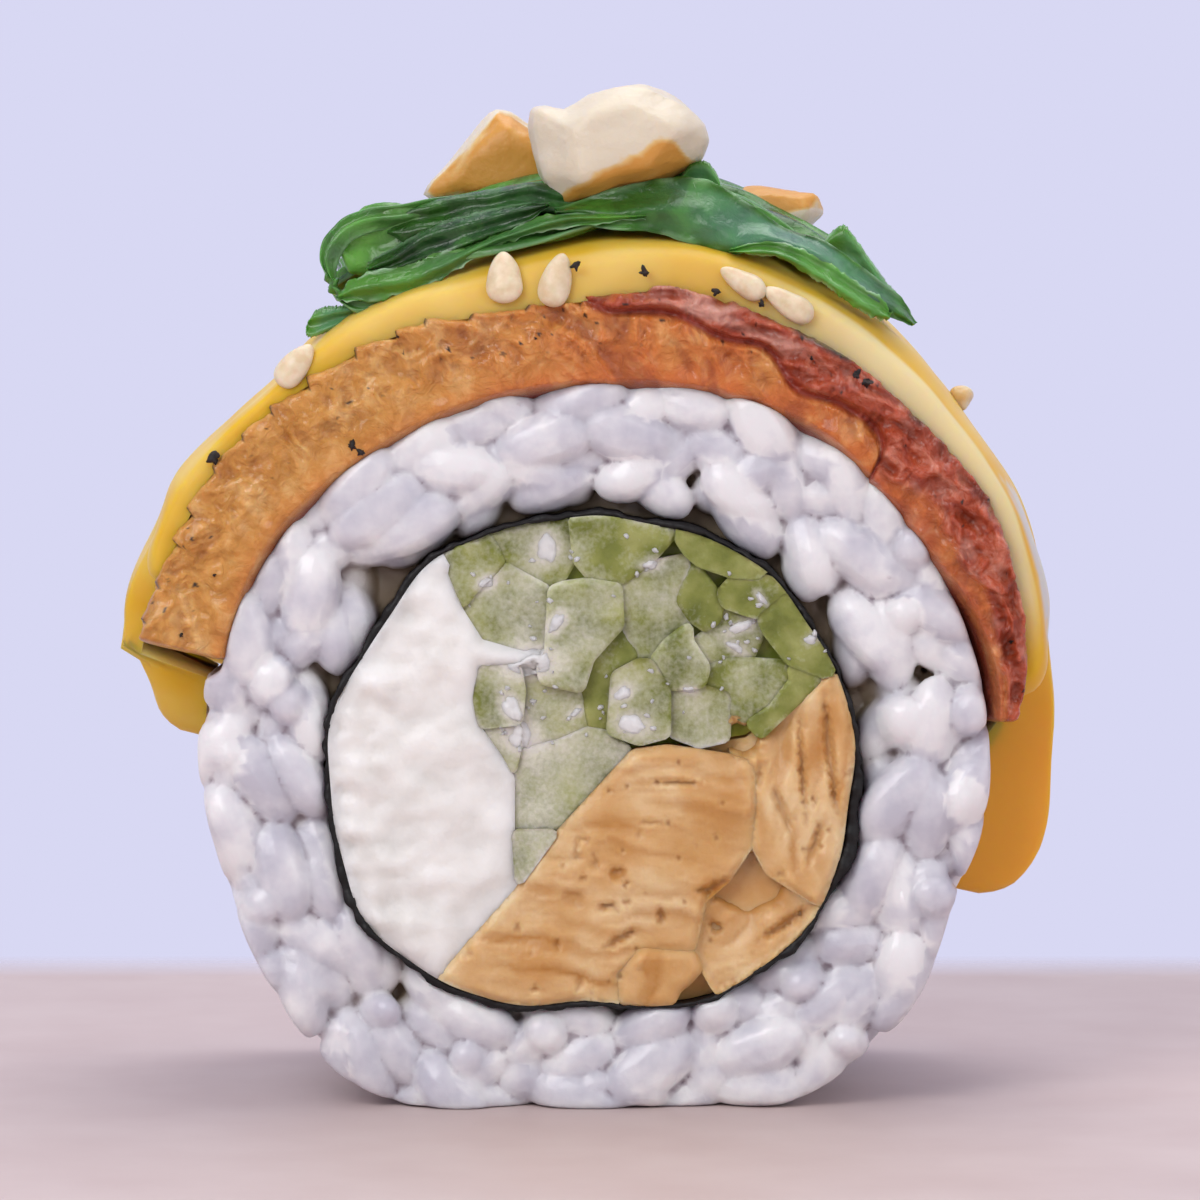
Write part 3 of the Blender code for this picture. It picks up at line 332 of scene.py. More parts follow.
def makeMaterial(name):
    look = finishes[name]
    material = bpy.data.materials.new(name)
    material.use_nodes = True
    tree = material.node_tree
    surface = tree.nodes["Principled BSDF"]
    values = dict(look["surface"])
    if "inside" in look:
        weight, depth, reach = look["inside"]
        values.update({"Subsurface Weight": weight, "Subsurface Scale": depth * mm,
                       "Subsurface Radius": reach})
    for label, value in values.items():
        surface.inputs[label].default_value = value
    where = addNode(tree, "ShaderNodeTexCoord").outputs["Object"]
    patterns = []
    for size, detail, more in (look["pattern"], look.get("fine", look["pattern"])):
        pattern = addNode(tree, "ShaderNodeTexNoise",
                          {"Vector": where, "Scale": perMm(size), "Detail": detail, **more})
        patterns.append(pattern.outputs["Fac"])
    broad, fine = patterns
    level = broad
    if "steered" in look:       # the mesh's own value, its weight, and the pattern's contrast and lift
        label, weight, contrast, lift = look["steered"]
        own = addNode(tree, "ShaderNodeAttribute", attribute_name=label).outputs["Fac"]
        for inputs in ({0: broad, 1: contrast, 2: lift}, {0: own, 1: weight}):
            level = addNode(tree, "ShaderNodeMath", {2: level, **inputs}, operation="MULTIPLY_ADD").outputs[0]
    colour = addNode(tree, "ShaderNodeValToRGB", {"Fac": level}, stops=look["colours"]).outputs["Color"]
    for label, other, *broken in look.get("shares", ()):
        share = addNode(tree, "ShaderNodeAttribute", attribute_name=label).outputs["Fac"]
        if broken:
            weight, low, high = broken
            added = addNode(tree, "ShaderNodeMath", {0: fine, 1: weight, 2: share}, operation="MULTIPLY_ADD")
            share = addNode(tree, "ShaderNodeMapRange", {"Value": added.outputs[0], "From Min": low,
                                                         "From Max": high}).outputs[0]
        if isinstance(other, list):
            other = addNode(tree, "ShaderNodeValToRGB", {"Fac": broad}, stops=other).outputs["Color"]
        colour = addNode(tree, "ShaderNodeMix", {0: share, 6: colour, 7: other}, data_type="RGBA").outputs[2]
    tree.links.new(colour, surface.inputs["Base Color"])
    if "gloss" in look:
        label, dull, shiny = look["gloss"]
        share = addNode(tree, "ShaderNodeAttribute", attribute_name=label).outputs["Fac"]
        gloss = addNode(tree, "ShaderNodeMapRange", {"Value": share, "To Min": dull, "To Max": shiny})
        tree.links.new(gloss.outputs[0], surface.inputs["Roughness"])
    if "bump" in look:
        bump = addNode(tree, "ShaderNodeBump",
                       {"Height": fine, "Distance": look["bump"] * mm, "Strength": 1.0})
        tree.links.new(bump.outputs["Normal"], surface.inputs["Normal"])
    return material


# Rice

rice = {
    "length": 6.6, "width": 3.5, "thickness": 3.1,
    "rings": 12, "sides": 12,               # how finely each grain is made, along and round
    "coreInset": 3.0, "coreSteps": 180,
    "voxel": 0.18, "easing": 2,             # how finely the sticky skin is made, and how soft its creases are
    "faces": 190000, "creaseShadeSpread": 2,
    "radii": [(0, 23.4), (25, 23.0), (50, 22.9), (75, 22.4), (90, 21.7), (115, 21.8), (135, 22.3),
              (155, 22.7), (173, 23.7), (200, 23.5), (217, 24.1), (232, 24.9), (247, 23.9),
              (270, 22.4), (293, 23.9), (308, 24.6), (322, 24.4), (336, 23.3), (350, 23.6)],
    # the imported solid's own grains, and then grains a little deeper that fill the gaps between them
    "layers": [
        # rows on the front and back: share of the way from nori to rim, number, least and most depth
        {"seed": 31, "front": [(0.2, 20, 1.3, 2.1), (0.52, 22, 1.3, 2.1), (0.84, 25, 1.3, 2.1)],
         "back": [(0.27, 17, 1.3, 2.1), (0.76, 20, 1.3, 2.1)],
         # turn from row to row, unevenness, swing, lean at the front and back, and share that stand upright
         "spin": 40, "jitter": 0.22, "turn": 38, "leans": {-1: -0.25, 1: 0.25}, "upright": 0.2,
         "scales": (0.88, 1.08),
         # rows along the roll's outside
         "wall": {"rows": 6, "margin": 2.5, "count": 12, "from": 173, "span": 186, "jitter": 0.2,
                  "depths": (0.9, 1.4), "sway": 0.6, "turns": (-1.2, 1.2), "scales": (0.9, 1.08)}},
        {"seed": 8, "front": [(0.1, 20, 2.0, 2.7), (0.36, 22, 1.9, 2.7), (0.64, 25, 1.9, 2.7),
                              (0.9, 28, 1.7, 2.6), (0.2, 21, 3.3, 3.8), (0.75, 25, 3.3, 3.8)],
         "spin": 70, "jitter": 0.3, "turn": 60, "leans": {-1: 0.3, 1: 0.3}, "upright": 0.0,
         "scales": (0.85, 1.05),
         "wall": {"rows": 8, "margin": 1.5, "count": 15, "from": 171, "span": 189, "jitter": 0.3,
                  "depths": (1.3, 1.9), "sway": 0.8, "turns": (0, math.pi), "scales": (0.85, 1.0)}},
    ],
}


def riceRadius(angle):
    return knotValue(rice["radii"], angle, 360)


def grainPlaces(layer):
    # centre, direction, outward normal and scale of each grain
    draw = random.Random(layer["seed"])
    places = []
    for side, rows in ((-1, layer["front"]), (1, layer.get("back", layer["front"]))):
        for share, count, shallow, deep in rows:
            for i in range(count):
                jitter = draw.uniform(-layer["jitter"], layer["jitter"])
                angle = (i + jitter) * 360 / count + share * layer["spin"]
                inner = noriRadius(angle) + roll["gap"]
                radius = inner + share * (riceRadius(angle) - inner)
                centre = ringPoint(radius, angle, side * (half - draw.uniform(shallow, deep)))
                turn = math.radians(angle + 90 + draw.uniform(-layer["turn"], layer["turn"]))
                lean = layer["leans"][side]
                along = Vector((math.cos(turn), draw.uniform(-lean, lean), math.sin(turn)))
                if layer["upright"] and draw.random() < layer["upright"]:
                    along = Vector((draw.uniform(-0.3, 0.3), 1, draw.uniform(-0.3, 0.3)))
                    centre.y = side * (half - rice["length"] / 2 + 0.2)
                places.append((centre, along, Vector((0, side, 0)), draw.uniform(*layer["scales"])))
    wall = layer["wall"]
    for row in range(wall["rows"]):
        y = (row + 0.5) / wall["rows"] * (roll["depth"] - 2 * wall["margin"]) - half + wall["margin"]
        for i in range(wall["count"]):
            jitter = draw.uniform(-wall["jitter"], wall["jitter"])
            angle = wall["from"] + (i + 0.5 * (row % 2) + jitter) * wall["span"] / wall["count"]
            radius = riceRadius(angle) - draw.uniform(*wall["depths"])
            centre = ringPoint(radius, angle, y + draw.uniform(-wall["sway"], wall["sway"]))
            turn = draw.uniform(*wall["turns"])
            outward = outwardAt(angle)
            along = Vector((-outward.z, 0, outward.x)) * math.cos(turn) + Vector((0, math.sin(turn), 0))
            places.append((centre, along, outward, draw.uniform(*wall["scales"])))
    return places


def holdGrain(point):
    # press a point of a grain back from the nori, the eel, the table and the knife's cut
    radius, angle = polarAbout(point, roll["fillingX"], roll["fillingZ"])
    point = fillingPoint(heldAbove(radius, noriSkin(angle) - 0.03, 0.3), angle, point.y)
    radius, angle = polarAbout(point, roll["ringX"], roll["ringZ"])
    limit = riceRadius(angle) + 0.35
    if underEel(angle, 1.5):
        limit = min(limit, knotValue(eel["inner"], angle) - 0.05)
    point = ringPoint(heldBelow(radius, limit, 0.3), angle, point.y)
    point.y = math.copysign(heldBelow(abs(point.y), half + 0.2, 0.45), point.y)
    point.z = heldAbove(point.z, 0.0, 0.25)
    return point


def addGrain(points, faces, centre, along, normal, size, bend, taper, rings, sides, hold):
    # plump grain with blunt ends: half length, half width and half thickness as its size
    along = along.normalized()
    side = along.cross(normal)
    if side.length < 0.05:
        side = along.cross(Vector((0.3, 0.2, 0.9)))
    side.normalize()
    up = side.cross(along).normalized()
    seed = len(points) * 0.37
    first = len(points)
    for ring in range(rings + 1):
        t = -math.cos(math.pi * ring / rings)
        swell = max(1 - abs(t) ** 2.5, 0.0) ** 0.5 * (1 - taper * t)
        middle = centre + along * (t * size[0]) - up * (bend * t * t)
        count = 1 if ring in (0, rings) else sides
        for i in range(count):
            turn = 2 * math.pi * i / sides
            out = side * (math.cos(turn) * swell * size[1]) + up * (math.sin(turn) * swell * size[2])
            dent = 1 + 0.09 * noise.noise(Vector((t * 1.3, math.cos(turn) + seed, math.sin(turn))))
            points.append(hold(middle + out * dent))
    last = len(points) - 1
    for i in range(sides):
        j = (i + 1) % sides
        faces.append((first, first + 1 + j, first + 1 + i))
        faces.append((last, last - sides + i, last - sides + j))
    for ring in range(rings - 2):
        a = first + 1 + ring * sides
        for i in range(sides):
            j = (i + 1) % sides
            faces.append((a + i, a + j, a + sides + j, a + sides + i))


def gapShadeShare(point):
    # 0 on the rice's outer faces, 1 deep in a gap between grains, where the rice gets painted olive shade
    radius, angle = polarAbout(point, roll["ringX"], roll["ringZ"])
    underRim = riceRadius(angle) + 0.3 - radius
    if underEel(angle, 1.5):
        underRim = 9.0
    underCut = half + 0.2 - abs(point.y)
    return smooth(1.5, 3.0, min(underRim, underCut))


def creaseShadeShares(points, faces):
    # how hollow the skin is at each point, from 0 to 1, which the rice uses for painted shade in its creases
    mesh = bpy.data.meshes.new("skin")
    mesh.from_pydata(points, [], faces)
    bm = bmesh.new()
    bm.from_mesh(mesh)
    bm.normal_update()
    hollow = []
    for vert in bm.verts:
        around = [edge.other_vert(vert).co for edge in vert.link_edges]
        middle = sum(around, Vector()) / len(around)
        reach = sum((spot - vert.co).length for spot in around) / len(around)
        hollow.append((middle - vert.co).dot(vert.normal) / reach)
    for _ in range(rice["creaseShadeSpread"]):
        hollow = [0.5 * hollow[vert.index] + 0.5 * sum(hollow[edge.other_vert(vert).index]
                  for edge in vert.link_edges) / len(vert.link_edges) for vert in bm.verts]
    bm.free()
    bpy.data.meshes.remove(mesh)
    return [smooth(0.02, 0.22, value) for value in hollow]


def makeRice():
    points, faces = [], []
    draw = random.Random(2)
    places = sum((grainPlaces(layer) for layer in rice["layers"]), [])
    owners = kdtree.KDTree(5 * len(places))
    for number, (centre, along, normal, scale) in enumerate(places):
        size = [rice[key] * scale / 2 for key in ("length", "width", "thickness")]
        addGrain(points, faces, centre, along, normal, size, draw.uniform(0.1, 0.4),
                 draw.uniform(-0.12, 0.12), rice["rings"], rice["sides"], holdGrain)
        for step in (-0.7, -0.35, 0, 0.35, 0.7):
            owners.insert(centre + along.normalized() * (step * size[0]), number)
    owners.balance()
    loops = []
    inset = rice["coreInset"]
    for i in range(rice["coreSteps"]):
        angle = 360 * i / rice["coreSteps"]
        rim = riceRadius(angle) - inset
        if underEel(angle):
            rim = min(rim, knotValue(eel["inner"], angle) - 1.4)
        wall = fillingPoint(noriSkin(angle) - 0.1, angle, 0)
        outer = ringPoint(rim, angle, 0)
        outer.z = max(outer.z, 0.5)
        loop = []
        for share, y in ((0, -1), (0.33, -1), (0.66, -1), (1, -1), (1, -0.5), (1, 0), (1, 0.5),
                         (1, 1), (0.66, 1), (0.33, 1), (0, 1)):
            place = wall.lerp(outer, share)
            place.y = y * (half - inset) + 0.4 * lumps(place, 2.0, y)
            loop.append(place)
        loops.append(loop)
    skinLoops(loops, points, faces, closed=True)
    points, faces = meltTogether(points, faces, rice["voxel"], rice["easing"], rice["faces"])
    tones = [draw.random() for _ in places]
    # crease and gap carry painted shade, mauve in the skin's creases and olive deep in the gaps; tone is each
    # grain's own whiteness
    values = {"gap": [gapShadeShare(point) for point in points], "crease": creaseShadeShares(points, faces),
              "tone": [tones[owners.find(point)[1]] for point in points]}
    addPiece("riceGrains", points, faces, makeMaterial("cookedRice"), ["rice"], values)
    print("rice:", len(faces), "faces")


# Nori

nori = {
    "thickness": 0.6, "steps": 720,
    "lapAngle": 346, "lapHalfWidth": 13, "lapHeight": 0.5,
    "pinch": 0.42,                          # how much thinner the sheet gets where it is pressed
    "radii": [(0, 16.3), (30, 16.1), (60, 15.8), (90, 15.25), (122, 15.9), (150, 15.7), (168, 16.3),
              (200, 16.7), (220, 17.2), (245, 16.2), (270, 15.2), (300, 16.5), (320, 16.85), (345, 16.35)],
}


def noriInner(angle):
    ripple = 0.12 * math.sin(math.radians(angle * 9)) + 0.05 * math.sin(math.radians(angle * 17 + 40))
    return knotValue(nori["radii"], angle, 360) + ripple - nori["thickness"]


def noriRadius(angle):
    fromLap = abs((angle % 360) - nori["lapAngle"])
    lap = min(max(1 - fromLap / nori["lapHalfWidth"], 0.0) * 3, 1.0)
    return noriInner(angle) + nori["thickness"] + nori["lapHeight"] * lap


def noriSkin(angle):
    # the sheet's outer side as it shows: pinched thinner in places where rice and filling press on it
    pinch = 0.62 + 0.6 * lumps((angle * 0.09, 0, 0), 1.0, 3) + 0.5 * lumps((angle * 0.3, 0, 0), 1.0, 5)
    return noriRadius(angle) - nori["pinch"] * min(max(pinch, 0.0), 1.0)


def makeNori():
    loops = []
    for i in range(nori["steps"]):
        angle = 360 * i / nori["steps"]
        loop = []
        for share, y in ((0, -1), (0.5, -1.006), (1, -1), (1, -0.6), (1, 0), (1, 0.6), (1, 1),
                         (0.5, 1.006), (0, 1), (0, 0.5), (0, -0.5)):
            reach = half - 0.25 + 0.12 * math.sin(math.radians(angle * 7))
            spot = fillingPoint(16, angle, y * 10)
            reach += 0.25 * lumps(spot, 1.1, 4) + 0.12 * lumps(spot, 0.4, 5)
            radius = noriInner(angle) + share * (noriSkin(angle) - noriInner(angle))
            radius += 0.07 * lumps(spot, 0.7, 6 + share) + 0.04 * lumps(spot, 0.3, 8 + share)
            loop.append(fillingPoint(radius, angle, y * reach))
        loops.append(loop)
    points, faces = [], []
    skinLoops(loops, points, faces, closed=True)
    addPiece("noriRing", points, faces, makeMaterial("dampNori"), ["nori"])
    print("nori:", len(faces), "faces")


# Fillings

fillings = {
    "cream_cheese": {"piece": "cheeseFilling", "spacing": 0.34, "rim": 0.8},
    # how milky the cut end of each stick is
    "cucumber": {"spacing": 0.3, "rim": 0.0,
                 "milky": [-0.22, 0.09, -0.11, -0.05, 0.11, 0.27, -0.14, -0.6, -0.2, -0.35, 0.14,
                           0.16, 0.11, -0.32, 0.23, 0.06, -0.26, -0.16, 0.04, 0.23, 0.33, 0.32]},
    "omelette_slab": {"piece": "omeletteSlab", "spacing": 0.24, "rim": 0.5, "grain": -5, "seed": 1},
    "omelette_edge": {"piece": "omeletteEdge", "spacing": 0.24, "rim": 0.5, "grain": 86, "seed": 2},
    "omelette_fold": {"piece": "omeletteFold", "spacing": 0.24, "rim": 0.5, "grain": 32, "seed": 3},
    "omelette_tip": {"piece": "omeletteTip", "spacing": 0.24, "rim": 0.5, "grain": 78, "seed": 4},
    # hollows torn in the omelette's front: across, up, half length, half width, turn, depth
    "tears": [(8.2, 13.4, 1.9, 0.75, 12, 1.8), (1.3, 14.3, 0.45, 0.35, 0, 0.7),
              (0.6, 12.3, 0.5, 0.25, 20, 0.5), (3.9, 11.7, 0.35, 0.5, 10, 0.7),
              (1.5, 10.4, 1.0, 0.28, 28, 0.8), (7.2, 11.0, 0.5, 0.3, -25, 0.9),
              (-1.3, 12.8, 0.7, 0.5, 0, 0.35), (-0.1, 14.9, 0.35, 0.28, 60, 0.4),
              (-1.1, 15.3, 0.4, 0.25, 0, 0.4), (5.0, 19.8, 1.9, 0.16, -4, 0.6),
              (3.4, 17.4, 1.3, 0.13, -8, 0.35), (14.1, 21.4, 3.7, 0.3, 96, 0.8),
              (12.4, 20.6, 2.8, 0.22, 94, 0.7), (11.4, 11.2, 1.8, 0.3, 32, 0.7),
              (9.8, 20.4, 0.9, 0.25, 88, 0.5), (11.2, 18.2, 1.6, 0.3, 110, 0.6),
              (13.2, 16.2, 1.4, 0.25, 70, 0.6)],
    "press": 0.28,                 # how far each is pressed out, so that it meets the next
    # what is seen deep between the pieces: its border away from the nori, angles along the nori, how deep
    "cucumberDepths": {"border": [(-9.0, 32.0), (-8.4, 28.4), (-6.9, 24.8), (-5.4, 21.2), (-4.9, 17.0),
                                  (-3.9, 14.0), (0.2, 18.8), (2.6, 21.6), (9.0, 22.6), (12.0, 24.9)],
                       "from": 24, "to": 121, "under": 1.15},
    "omeletteDepths": {"border": [(14.3, 25.6), (12.0, 24.7), (9.0, 22.4), (2.6, 21.4), (0.2, 18.6),
                                  (-4.4, 13.4), (-9.0, 9.4)],
                       "from": 234, "to": 377, "under": 1.3},
    # smears of cheese on the cut: across, up, half length, half width, turn
    "smears": [(-3.8, 27.0, 1.5, 0.7, 10), (-2.4, 29.4, 0.7, 0.35, 60), (-2.9, 33.9, 0.9, 0.6, 80),
               (-4.5, 22.6, 0.8, 0.8, 0), (-5.0, 24.2, 0.9, 0.5, -60), (1.6, 25.2, 0.55, 0.4, 30),
               (2.2, 23.3, 0.8, 0.55, -20), (3.3, 32.9, 0.5, 0.3, 10), (8.8, 29.2, 0.9, 0.3, 25),
               (8.4, 27.9, 0.6, 0.25, -30), (12.9, 28.4, 0.45, 0.3, 0), (-6.6, 31.8, 0.5, 0.3, 20),
               (5.6, 25.4, 0.35, 0.2, 0), (-1.2, 24.0, 0.4, 0.2, 40), (9.9, 30.9, 0.5, 0.2, -50)],
    "specks": 70,                  # tiny crumbs of cheese beside them
}


def nodeFaces(node):
    # a filling's outline and the points of its two cut faces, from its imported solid
    bm = weldedNode(node)
    beside = {}
    for edge in bm.edges:
        a, b = edge.verts
        if a.co.y < 0 and b.co.y < 0 and any(v.co.y > 0 for f in edge.link_faces for v in f.verts):
            beside.setdefault(a, []).append(b)
            beside.setdefault(b, []).append(a)
    start = next(iter(beside))
    outline, before, here = [], None, start
    while here is not start or not outline:
        outline.append(Vector((here.co.x, here.co.z)) / mm)
        after = [other for other in beside[here] if other is not before][0]
        before, here = here, after
    cuts = [[v.co / mm for v in bm.verts if v.co.y * side > 0] for side in (-1, 1)]
    bm.free()
    return outline, cuts


def fineOutline(outline, step):
    # the outline with its corners eased, walked in short steps
    fine = []
    count = len(outline)
    for i in range(count):
        before, here, after = outline[i - 1], outline[i], outline[(i + 1) % count]
        start = here.lerp(before, min(0.16 / (here - before).length, 0.45))
        end = here.lerp(after, min(0.16 / (here - after).length, 0.45))
        fine.append(start)
        fine.append(start.lerp(end, 0.5).lerp(here, 0.35))
        fine.append(end)
    walked = []
    for a, b in zip(fine, fine[1:] + fine[:1]):
        pieces = max(1, round((b - a).length / step))
        walked += [a.lerp(b, k / pieces) for k in range(pieces)]
    return walked


def insideOutline(spot, outline):
    crossings = 0
    for a, b in zip(outline, outline[1:] + outline[:1]):
        if (a.y > spot.y) != (b.y > spot.y):
            if spot.x < a.x + (spot.y - a.y) / (b.y - a.y) * (b.x - a.x):
                crossings += 1
    return crossings % 2 == 1


def pressedOut(outline):
    # the outline a little larger, so that it meets its neighbours, but still inside the nori
    turning = sum(a.x * b.y - b.x * a.y for a, b in zip(outline, outline[1:] + outline[:1]))
    outward = 1 if turning > 0 else -1
    pressed = []
    for i, here in enumerate(outline):
        chord = outline[(i + 1) % len(outline)] - outline[i - 1]
        normal = Vector((chord.y, -chord.x)).normalized() * outward
        spot = here + normal * fillings["press"]
        radius, angle = polarAbout(Vector((spot.x, 0, spot.y)), roll["fillingX"], roll["fillingZ"])
        limit = noriInner(angle) + 0.04
        pull = smooth(limit - 0.8, limit - 0.35, radius)
        place = fillingPoint(radius + (limit - radius) * pull, angle, 0)
        pressed.append(Vector((place.x, place.z)))
    return pressed


def fillingPiece(name, node, look, relief, material, extra=None):
    # one filling through the roll, its cut faces rebuilt finely with a relief
    coarse, cuts = nodeFaces(node)
    outline = pressedOut(fineOutline(coarse, look["spacing"]))
    tree = kdtree.KDTree(len(outline))
    for i, p in enumerate(outline):
        tree.insert((p.x, p.y, 0), i)
    tree.balance()
    spacing = look["spacing"]
    draw = random.Random(node)
    xs, ys = [p.x for p in outline], [p.y for p in outline]
    inner = []
    for row in range(int((max(ys) - min(ys)) / spacing) + 1):
        for column in range(int((max(xs) - min(xs)) / spacing) + 1):
            spot = Vector((min(xs) + (column + 0.5 * (row % 2)) * spacing + draw.uniform(-0.2, 0.2) * spacing,
                           min(ys) + (row + 0.5) * spacing + draw.uniform(-0.2, 0.2) * spacing))
            if insideOutline(spot, outline) and tree.find((spot.x, spot.y, 0))[2] > spacing * 0.45:
                inner.append(spot)
    count = len(outline)
    edges = [(i, (i + 1) % count) for i in range(count)]
    flat = geometry.delaunay_2d_cdt(outline + inner, edges, [], 1, 1e-6)
    source = {used[0]: place for place, used in enumerate(flat[3]) if used}
    points, faces, marks = [], [], []
    for side, cut in zip((-1, 1), cuts):
        for p in flat[0]:
            near = tree.find((p.x, p.y, 0))[2]
            weights = [(1 / (0.05 + (c.x - p.x) ** 2 + (c.z - p.y) ** 2) ** 1.5, abs(c.y)) for c in cut]
            depth = sum(w * y for w, y in weights) / sum(w for w, y in weights)
            lift, mark = relief(p.x, p.y, near, side)
            shared = half - 0.12 + 0.2 * lumps((p.x, side * 6, p.y), 2.5, 11)
            own = smooth(0.0, look["rim"], near) if look["rim"] else 0.75
            sunk = shared - depth
            own = max(own, smooth(0.3, 0.9, sunk))
            # an omelette end sunk behind its neighbours gets painted shade in the groove colour
            if extra == "groove":
                mark = max(mark, 0.8 * smooth(0.4, 1.2, sunk))
            bevel = 0.05 * smooth(0.16, 0.0, near)
            points.append(Vector((p.x, side * (shared + (depth + lift - shared) * own - bevel), p.y)))
            marks.append(mark)
    total = len(flat[0])
    for face in flat[2]:
        faces.append(list(face))
        faces.append([total + i for i in reversed(face)])
    for a, b in edges:
        if a not in source or b not in source:
            continue
        a, b = source[a], source[b]
        faces.append((a, total + a, total + b, b))
    return addPiece(name, points, faces, material, [node], {extra: marks} if extra else None)


def cheeseRelief(x, z, near, side):
    # smeared by the knife: long low waves across, with small lumps
    spot = (x * 0.5 + z * 0.15, side * 9, z * 0.9 - x * 0.12)
    toRim = smooth(-7.0, -15.0, x)
    smeared = 0.45 * lumps(spot, 2.2, 1) + (0.18 + 0.45 * toRim) * lumps((x * 0.7, side, z), 1.1, 2)
    smeared += 0.09 * lumps((x * 0.5, side, z), 0.4, 3)
    return smeared - 0.1 - 0.5 * toRim * smooth(1.2, 0.0, near), 0.0


def ovalPlace(x, z, spot):
    # how far out a place is in an oval: 0 in its middle, 1 on its border
    turn = math.radians(spot[4])
    across, up = x - spot[0], z - spot[1]
    along = across * math.cos(turn) + up * math.sin(turn)
    aside = up * math.cos(turn) - across * math.sin(turn)
    return math.hypot(along / spot[2], aside / spot[3])


def cucumberRelief(tone):
    # one stick's cut end, its smear of cheese thicker at its edges and towards the cheese
    def relief(x, z, near, side):
        lift = 0.12 * lumps((x, side * 5, z), 1.4, 3) + 0.05 * lumps((x, side, z), 0.5, 4)
        closeness = smooth(4.5, -3.0, x + 0.4 * abs(z - 26)) * 0.3
        edge = smooth(0.4, 0.0, near) * (0.1 + 0.6 * lumps((x, side, z), 1.2, 9))
        halo = max(smooth(2.2, 0.7, ovalPlace(x, z, spot)) for spot in fillings["smears"])
        return lift, closeness + edge + 0.7 * halo + 0.4 * lumps((x, side, z), 1.6, 8) + tone
    return relief


def omeletteRelief(look):
    turn = math.radians(look["grain"])
    seed = look["seed"]

    def relief(x, z, near, side):
        # thin layers along the grain, pores, and the front's own tears; pores and tears get painted shade
        along = x * math.cos(turn) + z * math.sin(turn)
        across = -x * math.sin(turn) + z * math.cos(turn)
        warp = 0.8 * lumps((x, side * 3, z), 4.0, seed) + 0.25 * lumps((x, side, z), 1.3, seed)
        layer = lumps((along * 0.16, side * 4, across + warp), 0.9, seed + 0.5)
        fine = lumps((along * 0.22, side, (across + warp) * 2.2), 0.8, seed + 2)
        broad = lumps((along * 0.4, side * 2, across), 3.0, seed + 3)
        pore = smooth(0.5, 0.64, lumps((x, side * 2, z), 0.7, seed + 5))
        ragged = 0.35 * lumps((x, side, z), 0.5, 6)
        torn, tearShade = 0.0, 0.0
        for tear in fillings["tears"] if side < 0 else ():
            reach = ovalPlace(x, z, tear) + ragged
            if reach < 2.4:
                torn = max(torn, 0.8 * tear[5] * smooth(1.25, 0.45, reach))
                tearShade = max(tearShade, min(0.5 * tear[5] + 0.25, 0.8) * smooth(1.8, 0.6, reach))
        lift = 0.16 * layer + 0.08 * fine + 0.2 * broad - 0.3 * pore - torn
        groove = 0.5 * smooth(0.05, -0.5, layer) + 0.3 * smooth(0.0, -0.5, fine) + 0.4 * pore
        pale = 0.35 * smooth(1.2, 0.0, near)
        return lift, min(max(max(groove, tearShade) + 0.25 * broad - pale, 0.0), 1.0)
    return relief


def cutSurface(pieces):
    # what a ray along the roll meets first on these pieces
    points, faces = [], []
    for piece in pieces:
        first = len(points)
        points += [v.co / mm for v in piece.data.vertices]
        faces += [[first + i for i in face.vertices] for face in piece.data.polygons]
    return bvhtree.BVHTree.FromPolygons(points, faces)


def addSmear(points, faces, surface, place, size, turn, side, seed):
    # a thin lump that lies on the cut face, its border uneven
    rings, sides = 6, 22
    cosine, sine = math.cos(math.radians(turn)), math.sin(math.radians(turn))
    first = len(points)
    lastY = side * half
    for ring in range(rings + 1):
        for i in range(sides if ring else 1):
            angle = 2 * math.pi * i / sides
            reach = ring / rings * (1 + 0.45 * lumps((math.cos(angle), math.sin(angle), seed), 0.7, seed))
            u, v = math.cos(angle) * reach * size[0], math.sin(angle) * reach * size[1]
            x, z = place[0] + u * cosine - v * sine, place[1] + u * sine + v * cosine
            hit = surface.ray_cast(Vector((x, side * 20, z)), Vector((0, -side, 0)))[0]
            if hit and abs(hit.y) > half - 1.3:
                lastY = hit.y
            dome = max(1 - (ring / rings) ** 2, 0.0) ** 0.5
            thick = 0.17 * dome * (1 + 0.7 * lumps((x, side, z), 0.35, seed)) - 0.05
            points.append(Vector((x, lastY + side * thick, z)))
    for i in range(sides):
        j = (i + 1) % sides
        fan = (first, first + 1 + i, first + 1 + j)
        faces.append(fan if side < 0 else (fan[0], fan[2], fan[1]))
        for ring in range(rings - 1):
            a, b = first + 1 + ring * sides, first + 1 + (ring + 1) * sides
            quad = (a + i, b + i, b + j, a + j)
            faces.append(quad if side < 0 else quad[::-1])


def makeDepths(name, material, node):
    # one body behind the cut ends, seen where they leave a gap
    look = fillings[name]
    border = [Vector(spot) for spot in look["border"]]
    for i in range(33):
        angle = look["from"] + (look["to"] - look["from"]) * i / 32
        place = fillingPoint(noriInner(angle) - 0.05, angle, 0)
        border.append(Vector((place.x, place.z)))
    middle = sum(border, Vector((0, 0))) / len(border)
    loops = []
    for side in (-1, 1):
        for share in ((0.02, 0.35, 0.7, 1.0) if side < 0 else (1.0, 0.7, 0.35, 0.02)):
            loop = []
            for spot in border:
                p = middle.lerp(spot, share)
                y = half - look["under"] + 0.25 * lumps((p.x, side, p.y), 1.6, 4)
                loop.append(Vector((p.x, side * y, p.y)))
            loops.append(loop)
    points, faces = [], []
    skinLoops(loops, points, faces)
    addPiece(name, points, faces, material, [node])


